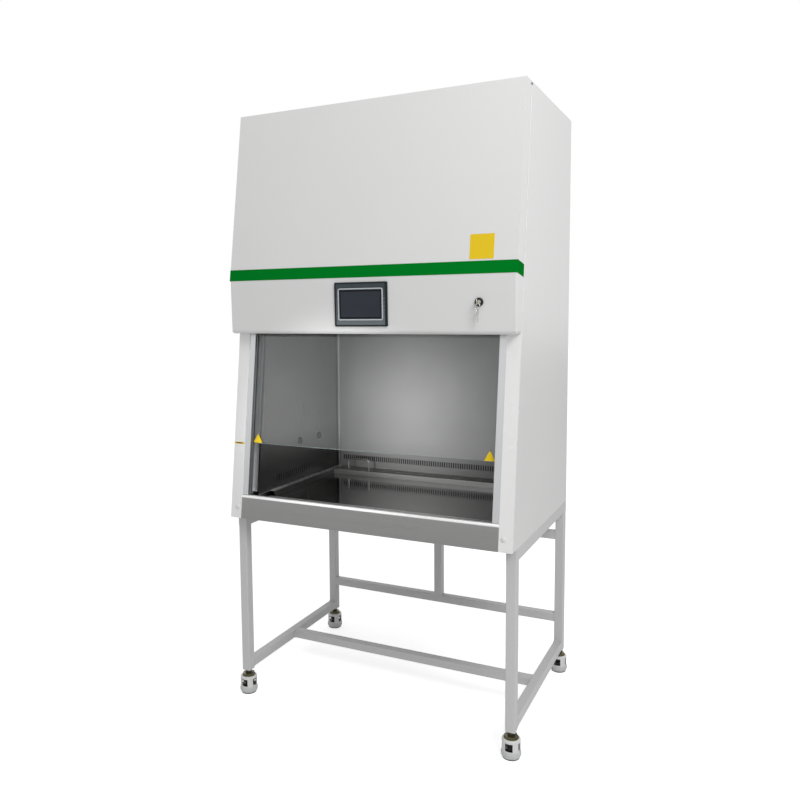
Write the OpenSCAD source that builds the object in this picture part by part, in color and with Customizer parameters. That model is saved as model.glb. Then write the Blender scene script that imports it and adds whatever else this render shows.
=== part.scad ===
// Class II biosafety cabinet on a tube stand with levelling casters.
// X is across the front, the opening faces -Y, and Z is up from the floor.

/* [Cabinet] */
// Width over the side panels
body_w = 1080; // [1040:10:1240]
// Depth of the cabinet at its foot
body_d = 770; // [750:5:830]
// Overall height above the floor
overall_h = 2190; // [2170:5:2300]
// Height of the cabinet's underside above the floor
body_z = 705; // [690:1:715]
// Backward lean of the front opening in degrees
front_lean = 7; // [6.4:0.1:7.4]
// Thickness of the painted outer sheets
skin_t = 1.5; // [1.2:0.1:2]
// Width of the white front posts
post_w = 46; // [44:1:56]
// Depth of the posts' side returns
post_return = 12; // [10:1:16]
// Seam between the posts and the side panels
panel_seam = 2; // [1:0.5:3]
// Distance of the base pan behind the posts' foot
pan_in = 40; // [30:1:60]
// Height of the base pan
pan_h = 36; // [30:1:40]

/* [Front cowl] */
// Height of the cowl's lower edge above the floor
cowl_z = 1390; // [1380:1:1400]
// Height of the cowl's knee above the floor
knee_z = 1582; // [1575:1:1600]
// How far the cowl stands ahead of the posts at its top
cowl_top_out = 60; // [50:1:64]
// How far the cowl stands ahead of the posts at its knee
cowl_knee_out = 77; // [70:1:82]
// How far the cowl stands ahead of the posts at its lower edge
cowl_foot_out = 49; // [44:1:54]
// Radius of the rolled lower edge
cowl_roll_r = 14; // [8:1:20]
// Radius of the cowl's lower corners
cowl_corner_r = 12; // [8:1:16]
// Radius of the upright edges below the knee
cowl_edge_r = 6; // [4:1:8]
// Gap between the cowl's sides and the posts
cowl_gap = 3; // [2:0.5:4]
// Height of the green band
band_h = 40; // [30:1:50]
// Thickness of the green band
band_t = 0.8; // [0.5:0.1:1]
// Greatest opening angle of the cowl in degrees
cowl_swing = 60; // [30:5:70]

/* [Control panel] */
// Width of the control panel's bezel
panel_w = 200; // [180:1:240]
// Height of the control panel's bezel
panel_h = 150; // [130:1:160]
// How far the bezel stands proud of the cowl
panel_proud = 7; // [4:1:10]
// Depth of the panel's housing behind the cowl
panel_back = 42; // [20:1:46]
// Width of the touch screen
screen_w = 154; // [140:1:170]
// Height of the touch screen
screen_h = 92; // [80:1:110]
// Height of the panel's centre above the floor
panel_z = 1491; // [1488:1:1495]
// Distance of the key switch from the cabinet's right side
key_side = 122; // [110:1:160]
// Height of the key switch above the floor
key_z = 1493; // [1485:1:1500]
// Diameter of the key switch's collar
key_collar_d = 28; // [24:1:34]
// Diameter of the key switch's turning plug
key_plug_d = 14; // [12:1:16]

/* [Sash] */
// Thickness of the sash glass
glass_t = 6; // [5:0.5:6]
// Length of the sash glass along its slope
glass_len = 690; // [680:5:710]
// Clear height under the raised sash
sash_open = 190; // [170:5:210]
// Travel of the sash above its working height
sash_lift = 240; // [150:10:240]
// How deep the glass edges sit in the guides
glass_seat = 14; // [10:1:16]
// Width of a sash guide
guide_w = 24; // [22:1:28]
// Depth of a sash guide
guide_d = 61; // [60:1:64]
// Diameter of the belt pulleys
pulley_d = 30; // [26:1:30]
// Diameter of the lift shaft
lift_shaft_d = 12; // [10:1:14]
// Diameter of the idler axles
idler_axle_d = 8; // [6:1:10]
// Distance of the lift shaft below the cabinet's top
lift_drop = 240; // [230:5:260]
// Height of the lower pulleys above the cowl's lower edge
idler_rise = 56; // [50:1:60]
// Diameter of the lift motor
lift_motor_d = 48; // [40:2:56]
// Length of the lift motor
lift_motor_len = 110; // [90:5:130]
// Width and height of the lift motor's gear case
gear_case = 60; // [54:2:66]
// Width of the lifting belts
belt_w = 10; // [8:1:12]
// Thickness of the lifting belts
belt_t = 1.5; // [1:0.1:2]

/* [Work area] */
// Distance from a side panel's face to the chamber's side liner
side_space = 75; // [75:1:85]
// Radius of the chamber's rear corners
cove_r = 12; // [8:1:15]
// Height from the work tray to the diffuser
chamber_h = 660; // [655:1:665]
// Depth of the return duct behind the rear liner
rear_duct = 67; // [60:1:90]
// Thickness of the stainless sheets
liner_t = 1.2; // [1:0.1:1.5]
// Height of the work tray above the floor
tray_z = 760; // [757:1:762]
// Height of the armrest's top above the floor
arm_z = 792; // [790:1:796]
// Outer radius of the armrest's nose
arm_r = 10; // [8:1:12]
// Depth from the posts' line to the tray at the armrest's height
arm_d = 142; // [130:1:150]
// Height of the side and rear ledges above the tray
ledge_h = 20; // [15:1:25]
// Width of the side ledges
ledge_w = 20; // [16:1:26]
// Depth of the slotted rear ledge
ledge_d = 80; // [70:1:90]
// Pitch of the suction slots
slot_pitch = 10; // [9:0.5:14]
// Width of the suction slots
slot_w = 5; // [4:0.5:6]
// Height of the slots in the liners
slot_h = 22; // [16:1:26]
// Height of the liners' slots above the ledges
slot_rise = 30; // [24:1:36]
// Pitch of the slots in the side liners
side_slot_pitch = 16; // [14:1:24]
// Length of the slots in the ledge
ledge_slot = 28; // [20:1:30]
// Diameter of the service plugs' flanges
plug_d = 30; // [26:1:36]
// Width of a lifting handle over its legs
handle_w = 104; // [90:1:120]
// Height of a lifting handle
handle_h = 50; // [40:1:60]
// Wire diameter of a lifting handle
handle_wire = 6; // [5:0.5:8]
// Diameter of the lamp tubes
lamp_d = 26; // [16:1:26]
// Distance of the lamps' ends from the side liners
lamp_side = 35; // [30:1:60]
// Distance of the first lamp behind the diffuser's front
lamp_in = 18; // [16:1:24]
// Distance between the lamps
lamp_pitch = 42; // [40:1:60]
// Length of a lamp holder
lamp_holder = 20; // [16:1:24]
// Height of the diffuser box between the ceiling and the filter
diffuser_h = 20; // [16:1:24]

/* [Air system] */
// Thickness of the filters
filter_h = 90; // [69:1:95]
// Distance of the plenum behind the posts' line at the lift shaft
plenum_in = 105; // [100:5:120]
// Diameter of the blower's impeller
impeller_d = 250; // [200:10:260]
// Width of the blower's impeller
impeller_w = 110; // [90:5:120]
// Number of impeller blades
blades = 28; // [20:1:36]
// Diameter of the blower motor's shaft
motor_shaft_d = 14; // [12:1:16]

/* [Stand] */
// Width of the square stand tube
tube = 34; // [32:1:40]
// Wall of the stand tube
tube_wall = 2; // [1.5:0.5:3]
// Corner radius of the stand tube
tube_r = 3; // [2:0.5:4]
// Height of the top side rails
rail_h = 44; // [36:1:48]
// Height of the lower bars
bar_h = 32; // [30:1:38]
// Height of the lower side bars above the floor
low_bar_z = 95; // [92:1:110]
// Height of the lower rear bar above the floor
rear_bar_z = 207; // [160:1:260]
// Height of the upper rear bar above the floor
upper_bar_z = 548; // [480:1:590]
// Distance from the cabinet's front foot to the front legs
leg_inset = 48; // [40:1:80]

/* [Casters] */
// Height of a caster
caster_h = 90; // [88:1:92]
// Diameter of a caster's foot ring
ring_d = 67; // [66:1:72]
// Diameter of a caster's barrel
barrel_d = 62; // [60:1:62]
// Diameter of a caster's wheel
wheel_d = 40; // [36:1:40]
// Width of a caster's wheel
wheel_w = 18; // [14:1:18]
// Offset of a wheel behind its swivel axis
wheel_trail = 4; // [3:1:4]
// Diameter of a caster's stem
stem_d = 12; // [10:1:14]
// Gap under a wheel while its foot ring stands on the floor
wheel_gap = 4; // [3:1:5]

/* [Hidden] */
$fn = 48;

// clearances
run_gap = 0.05;      // radial gap of a turning shaft
free_gap = 0.4;      // gap between parts that move past each other
seam = 0.5;          // seam between a guide and its liner
past = 1;            // how far a cut runs past a face
far = 3000;          // longer than the whole cabinet

// footprint: the rear casters stand out behind the rear panel
caster_out = (ring_d - tube) / 2;
front_y = -(body_d + caster_out) / 2;
rear_y = front_y + body_d;
half_w = body_w / 2;
key_x = half_w - key_side;
in_w = half_w - skin_t;                   // inside of the side panels
post_in = half_w - post_w;                // inner edge of the posts
function line_y(z) = front_y + (z - body_z) * tan(front_lean);
function slope_w(z, v = 0) = (z - body_z + v * sin(front_lean)) / cos(front_lean);

// work area
chamber_x = half_w - side_space;
chamber_w = 2 * chamber_x;
chamber_back = rear_y - rear_duct;
ledge_z = tray_z + ledge_h;
lip_z = tray_z - 15;                      // shelf that carries the tray
tray_x = chamber_x - ledge_w;             // inner face of the side ledges
tray_front = line_y(arm_z) + arm_d;
tray_back = chamber_back - ledge_d;
ceiling_z = tray_z + chamber_h;
slots_z = ledge_z + slot_rise;
apron_top = arm_z - arm_r;
apron_t = liner_t;
pan_front = front_y + pan_in;

// sash, in the leaning frame: v is measured back from the posts' front, w up the slope
guide_v = 3;
groove_v = 18.5;
groove_gap = 1.2;
glass_v = groove_v + groove_gap;
glass_back = glass_v + glass_t;
sash_z = arm_z + sash_open;
glass_w0 = slope_w(sash_z, glass_back);
glass_x = post_in - guide_w + glass_seat;
shaft_high = overall_h - lift_drop;
guide_top = shaft_high + 40;
belt_v = glass_back + 4.8;
pulley_r = pulley_d / 2;
belt_in = pulley_r + 0.3;
belt_out = belt_in + belt_t;
shaft_v = belt_v + belt_out;
shaft_w = slope_w(shaft_high, shaft_v);
idler_w = slope_w(cowl_z + idler_rise, shaft_v);
belt_x = post_in - guide_w - 22;
clamp_h = 36;

// hinge of the cowl
hinge_r = 4;
hinge_pin_r = 2;
hinge_y = line_y(overall_h);
hinge_z = overall_h - hinge_r - 0.5;
hinge_at = [-0.74 * half_w, 0, 0.74 * half_w];
hinge_len = 60;
cowl_tilt = atan((cowl_knee_out - cowl_foot_out - (knee_z - cowl_z) * tan(front_lean)) / (knee_z - cowl_z));
function fascia_y(z) = line_y(cowl_z) - cowl_foot_out - (z - cowl_z) * tan(cowl_tilt);

// air system
filter_z = ceiling_z + diffuser_h;
plenum_z = filter_z + filter_h;
exhaust_z = overall_h - 40 - filter_h;
plenum_x = chamber_x - 15;
plenum_front = line_y(shaft_high) + plenum_in;
plenum_back = chamber_back - 65;
filter_front = line_y(filter_z) + 88;
fan_z = (plenum_z + exhaust_z) / 2 + 10;
fan_y = plenum_back - skin_t;             // the blower bolts to the plenum's rear wall
scroll_d = impeller_w + 40;

// stand
leg_x = half_w - tube / 2;
leg_front = front_y + leg_inset + tube / 2;
leg_rear = rear_y - tube / 2;
rail_z = body_z - rail_h;

// casters
caster_at = [[-leg_x, leg_front], [leg_x, leg_front], [-leg_x, leg_rear], [leg_x, leg_rear]];
axle_z = wheel_gap + wheel_d / 2;
barrel_r = barrel_d / 2;
ring_r = ring_d / 2;
ring_top = 26;
ring_floor = 8;
barrel_z = ring_floor + 8.5;
barrel_top = caster_h - 23;
pad_h = 4;

function arc(cx, cy, r, a0, a1, n) =
    [for (i = [0 : n]) let (a = a0 + (a1 - a0) * i / n) [cx + r * cos(a), cy + r * sin(a)]];
function reversed(p) = [for (i = [len(p) - 1 : -1 : 0]) p[i]];
// places from -span/2 to span/2 at a pitch that divides the span evenly
function row(span, pitch) =
    let (n = floor(span / pitch)) [for (i = [0 : n]) (i - n / 2) * pitch];

// a side view profile in Y and Z, extruded from x0 to x1
module across(x0, x1) translate([x0, 0, 0]) rotate([90, 0, 90]) linear_extrude(x1 - x0) children();
// a front view profile in X and Z, extruded back from y0 by t
module back_from(y0, t) translate([0, y0 + t, 0]) rotate([90, 0, 0]) linear_extrude(t) children();
// the leaning frame of the posts, guides and sash
module on_front() translate([0, front_y, body_z]) rotate([-front_lean, 0, 0]) children();
// a plan profile in X and v, run up the slope and cut level at z0 and z1
module up_slope(z0, z1) intersection() {
    on_front() translate([0, 0, -200]) linear_extrude(far) children();
    translate([-far / 2, -far / 2, z0]) cube([far, far, z1 - z0]);
}
// a rectangle with rounded corners, centred on the origin
module rounded_rect(w, h, r) {
    square([w - 2 * r, h], center = true);
    square([w, h - 2 * r], center = true);
    for (x = [-1, 1], y = [-1, 1]) translate([x * (w / 2 - r), y * (h / 2 - r)]) circle(r = r);
}
// a cylinder along X from x0 to x1
module rod_x(r, x0, x1) translate([x0, 0, 0]) rotate([0, 90, 0]) cylinder(r = r, h = x1 - x0);
module to_left() mirror([1, 0, 0]) children();

// ---------------------------------------------------------------- outer casing
module side_panel() {
    inset = (post_return + panel_seam) / cos(front_lean);
    color("whitesmoke") across(in_w, half_w) polygon([
        [line_y(body_z) + inset, body_z], [rear_y, body_z],
        [rear_y, overall_h], [line_y(overall_h) + inset, overall_h]]);
}

module rear_panel() color("whitesmoke") difference() {
    translate([-in_w, rear_y - skin_t, body_z]) cube([2 * in_w, skin_t, overall_h - skin_t - body_z]);
    translate([inlet_x - inlet_w / 2, rear_y - skin_t - past, inlet_z - inlet_h / 2])
        cube([inlet_w, skin_t + 2 * past, inlet_h]);
}

grille_w = 560;
grille_d = 300;
module top_panel() {
    y0 = hinge_y + hinge_r + 1.5;
    color("whitesmoke") translate([0, 0, overall_h - skin_t]) linear_extrude(skin_t) difference() {
        translate([-in_w, y0]) square([2 * in_w, rear_y - y0]);
        for (x = row(grille_w, 28), y = row(grille_d, 75))
            translate([x - 7, (plenum_front + plenum_back) / 2 + y - 32]) square([14, 64]);
    }
}

drain_x = 0.74 * half_w;
drain_y = front_y + 330;
drain_r = 10;
module base_pan() color("silver") difference() {
    translate([-in_w, pan_front, body_z]) cube([2 * in_w, rear_y - skin_t - pan_front, pan_h]);
    translate([-in_w + liner_t, pan_front + liner_t, body_z + skin_t])
        cube([2 * (in_w - liner_t), rear_y - skin_t - pan_front - 2 * liner_t, pan_h]);
    translate([drain_x, drain_y, body_z - past]) cylinder(r = drain_r, h = pan_h);
}

module apron() {
    t = apron_t / cos(front_lean);
    color("silver") across(-post_in, post_in) polygon([
        [line_y(body_z), body_z], [pan_front, body_z], [pan_front, body_z + apron_t],
        [line_y(body_z + apron_t) + t, body_z + apron_t], [line_y(apron_top) + t, apron_top],
        [line_y(apron_top), apron_top]]);
}

// the armrest rolls over at the front and falls back to a slotted intake strip
module armrest() {
    fall = 20;
    cy = line_y(apron_top) + arm_r;
    cz = arm_z - arm_r;
    flat_y = cy + arm_r * cos(90 - fall) + (cz + arm_r * sin(90 - fall) - tray_z) / tan(fall);
    back_y = tray_front - free_gap;
    bend = liner_t * tan(fall / 2);
    narrow_y = line_y(arm_z) + (guide_v + guide_d) / cos(front_lean) - 2;
    color("gainsboro") {
        difference() {
            across(-post_in, post_in) polygon(concat(
                arc(cy, cz, arm_r, 180, 90 - fall, 12),
                [[flat_y, tray_z], [flat_y, tray_z - liner_t], [flat_y - bend, tray_z - liner_t]],
                reversed(arc(cy, cz, arm_r - liner_t, 180, 90 - fall, 12))));
            for (s = [-1, 1]) translate([s * (chamber_x - free_gap + 50) - 50, narrow_y, 0])
                cube([100, far, far]);
        }
        translate([0, 0, tray_z - liner_t]) linear_extrude(liner_t) difference() {
            translate([-chamber_x + free_gap, flat_y]) square([2 * (chamber_x - free_gap), back_y - flat_y]);
            for (x = row(chamber_w - 40, slot_pitch))
                translate([x - slot_w / 2, flat_y + 6]) square([slot_w, back_y - flat_y - 12]);
        }
        translate([-chamber_x + free_gap, back_y - liner_t, lip_z])
            cube([2 * (chamber_x - free_gap), liner_t, tray_z - liner_t - lip_z]);
    }
}

module post() color("white") up_slope(body_z, overall_h - 12) polygon([
    [post_in, 0], [half_w, 0], [half_w, post_return], [in_w, post_return], [in_w, skin_t],
    [post_in + skin_t, skin_t], [post_in + skin_t, 14], [post_in, 14]]);

module post_caps() color("white") for (s = [-1, 1])
    on_front() translate([s * (half_w - 30), 0, slope_w(body_z + 41)]) rotate([90, 0, 0])
        rotate_extrude() polygon(concat([[0, 0], [9, 0], [9, 1.2]], arc(0, -8.4, 13.2, 46.5, 90, 6)));

// ---------------------------------------------------------------- work area
module slot_row_2d(span, pitch, z) for (x = row(span, pitch))
    translate([x - slot_w / 2, z]) square([slot_w, slot_h]);

module liner_rear() color("lightgray") back_from(chamber_back, liner_t) difference() {
    translate([-chamber_x + cove_r, lip_z]) square([chamber_w - 2 * cove_r, ceiling_z - lip_z]);
    slot_row_2d(chamber_w - 2 * ledge_w - 20, slot_pitch, slots_z);
}

plug_y = [front_y + 376, front_y + 530];
plug_z = tray_z + 181;
plug_bore = plug_d / 3;
cove_y = chamber_back - cove_r;
module liner(with_plugs) {
    inset = (guide_v + guide_d + seam) / cos(front_lean);
    z0 = body_z + skin_t;
    color("lightgray") {
        difference() {
            across(chamber_x, chamber_x + liner_t) difference() {
                polygon([[line_y(z0) + inset, z0], [chamber_back + liner_t, z0], [chamber_back + liner_t, lip_z],
                         [cove_y, lip_z], [cove_y, ceiling_z], [line_y(ceiling_z) + inset, ceiling_z]]);
                for (y = row(240, side_slot_pitch))
                    translate([front_y + 316 + y - slot_w / 2, slots_z]) square([slot_w, slot_h]);
            }
            if (with_plugs) for (y = plug_y)
                translate([0, y, plug_z]) rod_x(plug_bore, chamber_x - past, chamber_x + liner_t + past);
        }
        // the sheet turns round the chamber's rear corner
        translate([chamber_x - cove_r, cove_y, lip_z]) linear_extrude(ceiling_z - lip_z) intersection() {
            difference() {
                circle(r = cove_r + liner_t);
                circle(r = cove_r);
            }
            square(cove_r + liner_t);
        }
        // ledge, its drop and the shelf under the tray, trimmed to the rounded corner
        difference() {
            translate([0, chamber_back, 0]) rotate([90, 0, 0]) linear_extrude(chamber_back - tray_front) polygon([
                [chamber_x, ledge_z], [tray_x, ledge_z], [tray_x, lip_z], [tray_x - 16, lip_z],
                [tray_x - 16, lip_z - liner_t], [tray_x + liner_t, lip_z - liner_t],
                [tray_x + liner_t, ledge_z - liner_t], [chamber_x, ledge_z - liner_t]]);
            translate([chamber_x - cove_r, cove_y, ledge_z - liner_t - past]) linear_extrude(liner_t + 2 * past)
                difference() {
                    square(cove_r + past);
                    circle(r = cove_r);
                }
        }
    }
}

module service_plugs() color("dimgray") to_left() for (y = plug_y)
    translate([chamber_x, y, plug_z]) rotate([0, -90, 0]) rotate_extrude() polygon(concat(
        [[0, -liner_t - 6], [plug_bore - run_gap, -liner_t - 6], [plug_bore - run_gap, 0], [plug_d / 2, 0],
         [plug_d / 2, 2.5]], arc(plug_d / 2 - 2, 2.5, 2, 20, 90, 4), [[0, 4.5]]));

module work_tray() color("gainsboro") difference() {
    x = tray_x - free_gap;
    y0 = tray_front + free_gap;
    y1 = tray_back - free_gap;
    translate([-x, y0, lip_z]) cube([2 * x, y1 - y0, tray_z - lip_z]);
    translate([-x + liner_t, y0 + liner_t, lip_z - past])
        cube([2 * (x - liner_t), y1 - y0 - 2 * liner_t, tray_z - lip_z - liner_t + past]);
}

module rear_grille() color("gainsboro") {
    x = tray_x - free_gap;
    y0 = tray_back;
    y1 = chamber_back - free_gap;
    translate([0, 0, ledge_z - liner_t]) linear_extrude(liner_t) difference() {
        translate([-x, y0]) square([2 * x, y1 - y0]);
        for (u = row(2 * x - 30, slot_pitch), k = [0, 1])
            translate([u - slot_w / 2, y0 + 9 + k * (ledge_slot + 6)]) square([slot_w, ledge_slot]);
    }
    translate([-x, y0, lip_z]) cube([2 * x, liner_t, ledge_z - liner_t - lip_z]);
    for (s = [-1, 1]) translate([s * (x - liner_t / 2) - liner_t / 2, y0 + liner_t, lip_z])
        cube([liner_t, y1 - y0 - liner_t, ledge_z - liner_t - lip_z]);
}

handle_x = 330;
handle_y = tray_back + 18;
module bail() {
    r = handle_wire / 2;
    bend = 12;
    leg = handle_h - bend - r;
    for (s = [-1, 1]) {
        translate([s * (handle_w / 2 - r), 0, 0]) cylinder(r = r, h = leg, $fn = 24);
        translate([s * (handle_w / 2 - r - bend), 0, leg]) rotate([90, 0, 0]) rotate([0, 0, s > 0 ? 0 : 90])
            rotate_extrude(angle = 90, $fn = 24) translate([bend, 0]) circle(r = r);
    }
    translate([0, 0, leg + bend])
        rotate([0, 90, 0]) cylinder(r = r, h = handle_w - 2 * (r + bend), center = true, $fn = 24);
}
module tray_handles() color("silver") for (s = [-1, 1]) translate([s * handle_x, handle_y, ledge_z]) bail();

// a framed sheet of punched slots under the supply filter
module diffuser() color("silver") {
    x = chamber_x - free_gap;
    y0 = filter_front;
    y1 = chamber_back - free_gap;
    translate([0, 0, ceiling_z]) linear_extrude(liner_t) difference() {
        translate([-x, y0]) square([2 * x, y1 - y0]);
        for (u = row(2 * x - 60, 25), k = [0 : 5])
            translate([u - 6, y0 + 24 + k * (y1 - y0 - 40) / 6]) square([12, (y1 - y0 - 40) / 6 - 10]);
    }
    rim = 20;
    difference() {
        translate([-x, y0, ceiling_z + liner_t]) cube([2 * x, y1 - y0, filter_z - ceiling_z - liner_t]);
        translate([rim - x, y0 + rim, ceiling_z]) cube([2 * (x - rim), y1 - y0 - 2 * rim, far]);
    }
}

lamp_x = chamber_x - lamp_side;
lamp_z = ceiling_z - lamp_d / 2 - 3;
module lamps() for (k = [0, 1]) translate([0, filter_front + lamp_in + k * lamp_pitch, lamp_z]) {
    color("white") rod_x(lamp_d / 2, lamp_holder - lamp_x, lamp_x - lamp_holder);
    color("lightgray") for (s = [-1, 1])
        translate([s * (lamp_x - lamp_holder / 2) - lamp_holder / 2, -lamp_d / 2 - 1, -lamp_d / 2])
            cube([lamp_holder, lamp_d + 2, ceiling_z - lamp_z + lamp_d / 2]);
}

// ---------------------------------------------------------------- air system
// a boxed filter with a folded pack, standing on z = 0
module filter(w, d, pleats) {
    wall = 12;
    pitch = (w - 2 * wall) / pleats;
    color("silver") difference() {
        translate([-w / 2, -d / 2, 0]) cube([w, d, filter_h]);
        translate([-w / 2 + wall, -d / 2 + wall, -past]) cube([w - 2 * wall, d - 2 * wall, filter_h + 2 * past]);
    }
    // folded paper: a zigzag going out along its lower side and back along its upper side
    zig = [for (i = [0 : 2 * pleats]) [-w / 2 + wall + i * pitch / 2, i % 2 == 0 ? 10 : filter_h - 14]];
    color("white") translate([0, d / 2 - wall, 0]) rotate([90, 0, 0]) linear_extrude(d - 2 * wall)
        polygon(concat(zig, reversed([for (p = zig) [p[0], p[1] + 4]])));
}
module supply_filter() translate([0, (filter_front + chamber_back) / 2, filter_z])
    filter(2 * (chamber_x - 15), chamber_back - filter_front - 4, 30);
module exhaust_filter() translate([0, (plenum_front + plenum_back) / 2, exhaust_z])
    filter(grille_w + 70, plenum_back - plenum_front, 22);

module plenum() color("silver") difference() {
    union() {
        translate([-plenum_x, plenum_front, plenum_z])
            cube([2 * plenum_x, plenum_back - plenum_front, exhaust_z - plenum_z]);
        // hangers that carry the plenum on the side panels
        for (s = [-1, 1]) translate([s > 0 ? plenum_x : -in_w, plenum_front + 40, exhaust_z - 60])
            cube([in_w - plenum_x, plenum_back - plenum_front - 80, skin_t]);
    }
    translate([-plenum_x + skin_t, plenum_front + skin_t, plenum_z - past])
        cube([2 * (plenum_x - skin_t), plenum_back - plenum_front - 2 * skin_t, exhaust_z - plenum_z + 2 * past]);
    translate([0, plenum_back + past, fan_z]) rotate([90, 0, 0]) cylinder(r = impeller_d * 0.4, h = 2 * skin_t + past);
}

// the casing's spiral grows from the cut-off round to its outlet, which points down
scroll_r0 = impeller_d / 2 + 12;
scroll_r1 = impeller_d / 2 + 78;
scroll_drop = 30;
module blower_housing() {
    color("darkgray") translate([0, fan_y, fan_z]) rotate([90, 0, 0]) {
        difference() {
            linear_extrude(scroll_d) scroll_outline(0);
            translate([0, 0, skin_t]) linear_extrude(scroll_d - 2 * skin_t) scroll_outline(skin_t);
            translate([0, 0, -past]) cylinder(r = impeller_d * 0.38, h = skin_t + 2 * past);
            translate([0, 0, scroll_d - skin_t - past]) cylinder(r = motor_r + 3, h = skin_t + 2 * past);
        }
    }
}
// spiral with a straight duct to its outlet; d shrinks it to the inner wall
module scroll_outline(d) {
    steps = 30;
    polygon([for (i = [0 : steps])
        let (a = -90 + i * 270 / steps, r = scroll_r1 - (scroll_r1 - scroll_r0) * i / steps - d)
        [r * cos(a), r * sin(a)]]);
    open_end = d > 0 ? past : 0;
    translate([-scroll_r0 + d, -scroll_r1 - scroll_drop - open_end])
        square([scroll_r0 - 2 * d, scroll_r1 + scroll_drop + open_end]);
}

motor_r = 58;
motor_len = 74;
motor_y = fan_y - scroll_d;               // front face of the blower's casing
module blower_motor() color("dimgray") translate([0, motor_y, fan_z]) rotate([90, 0, 0]) difference() {
    union() {
        cylinder(r = motor_r + 22, h = 3);
        cylinder(r = motor_r, h = motor_len);
        for (a = [0 : 30 : 330]) rotate([0, 0, a]) translate([motor_r - 2, -1.5, 8]) cube([7, 3, motor_len - 16]);
    }
    translate([0, 0, -past]) cylinder(r = motor_shaft_d / 2 + run_gap, h = motor_len - 10 + past);
}

// impeller: a back disc, a shroud and forward curved blades round the hub
module blower_rotor() {
    r1 = impeller_d / 2;
    r0 = r1 - 32;
    y0 = fan_y - (scroll_d - impeller_w) / 2;
    color("silver") translate([0, y0, fan_z]) rotate([90, 0, 0]) {
        translate([0, 0, impeller_w - 3]) cylinder(r = r1, h = 3);
        difference() {
            cylinder(r = r1, h = 3);
            translate([0, 0, -past]) cylinder(r = r0, h = 3 + 2 * past);
        }
        for (i = [0 : blades - 1]) rotate([0, 0, i * 360 / blades]) translate([0, 0, 2])
            linear_extrude(impeller_w - 4) polygon(concat(
                arc(r0 + 2, 27, 27, -90, -30, 5), reversed(arc(r0 + 2, 27, 25.5, -90, -30, 5))));
        translate([0, 0, impeller_w - 30]) cylinder(r = motor_shaft_d, h = 30);
        translate([0, 0, impeller_w - 30]) cylinder(r = motor_shaft_d / 2,
            h = 30 + (scroll_d - impeller_w) / 2 + motor_len - 14);
    }
}

// ---------------------------------------------------------------- sash and its lift
module guide() {
    x0 = post_in - guide_w;
    color("lightgray") difference() {
        up_slope(arm_z + 0.3, guide_top) difference() {
            translate([x0, guide_v]) square([guide_w, guide_d]);
            translate([x0 - past, groove_v]) square([glass_seat + 4 + past, glass_t + 2 * groove_gap]);
            translate([x0 - past, guide_v + 3]) square([guide_w - 6, groove_v - guide_v - 6]);
            translate([x0 - past, groove_v + glass_t + 2 * groove_gap + 3.5])
                square([guide_w - 6, guide_v + guide_d - groove_v - glass_t - 2 * groove_gap - 6.5]);
        }
        on_front() translate([0, shaft_v, shaft_w]) rod_x(lift_shaft_d / 2 + run_gap, x0 - past, post_in + past);
        on_front() translate([0, shaft_v, idler_w]) rod_x(idler_axle_d / 2 + run_gap, x0 - past, post_in + past);
    }
}

module sash_glass() color("lightblue", 0.35) on_front() translate([-glass_x, glass_v, glass_w0])
    cube([2 * glass_x, glass_t, glass_len]);

// a clamp on each upper corner of the glass reaches back to the belt
module sash_clamps() color("dimgray") for (s = [-1, 1]) on_front()
    translate([s * belt_x, 0, glass_w0 + glass_len - clamp_h]) difference() {
        translate([-14, glass_v - 4, 0]) cube([28, belt_v - free_gap - glass_v + 4, clamp_h + 4]);
        translate([-15, glass_v, -past]) cube([30, glass_t, clamp_h + past]);
    }

module pulley() {
    rim = 1.2;
    rod_x(pulley_r, -belt_w / 2 - 0.5, belt_w / 2 + 0.5);
    for (side = [-belt_w / 2 - 2, belt_w / 2 + 0.5]) rod_x(pulley_r + rim, side, side + 1.5);
}
module lift_shaft() color("silver") on_front() translate([0, shaft_v, shaft_w]) {
    rod_x(lift_shaft_d / 2, -post_in - 4, post_in + 4);
    for (s = [-1, 1]) translate([s * belt_x, 0, 0]) pulley();
}
module idler_pulleys() color("silver") on_front() translate([0, shaft_v, idler_w]) for (s = [-1, 1]) {
    translate([s * belt_x, 0, 0]) pulley();
    rod_x(idler_axle_d / 2, s > 0 ? belt_x - 10 : -post_in - 2, s > 0 ? post_in + 2 : -belt_x + 10);
}
module lift_belts() color("black") on_front() for (s = [-1, 1])
    translate([s * belt_x - belt_w / 2, shaft_v, 0]) rotate([90, 0, 90]) linear_extrude(belt_w) difference() {
        union() {
            translate([0, idler_w]) circle(r = belt_out);
            translate([0, shaft_w]) circle(r = belt_out);
            translate([-belt_out, idler_w]) square([2 * belt_out, shaft_w - idler_w]);
        }
        translate([0, idler_w]) circle(r = belt_in);
        translate([0, shaft_w]) circle(r = belt_in);
        translate([-belt_in, idler_w]) square([2 * belt_in, shaft_w - idler_w]);
    }

// worm gear motor round the lift shaft, bolted to the plenum's front wall
gear_x = 300;
half_gear = gear_case / 2;
shaft_y = front_y + shaft_v * cos(front_lean) + shaft_w * sin(front_lean);
shaft_z = body_z - shaft_v * sin(front_lean) + shaft_w * cos(front_lean);
module lift_motor() color("dimgray") difference() {
    union() {
        translate([gear_x - half_gear, shaft_y - 26, shaft_z - half_gear])
            cube([gear_case, plenum_front - shaft_y + 26, gear_case]);
        translate([gear_x, (shaft_y + plenum_front) / 2 - 5, shaft_z - half_gear]) mirror([0, 0, 1]) {
            cylinder(d = lift_motor_d, h = lift_motor_len);
            translate([0, 0, lift_motor_len]) cylinder(d = lift_motor_d - 8, h = 8);
        }
    }
    translate([0, shaft_y, shaft_z])
        rod_x(lift_shaft_d / 2 + run_gap, gear_x - half_gear - past, gear_x + half_gear + past);
}

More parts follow.
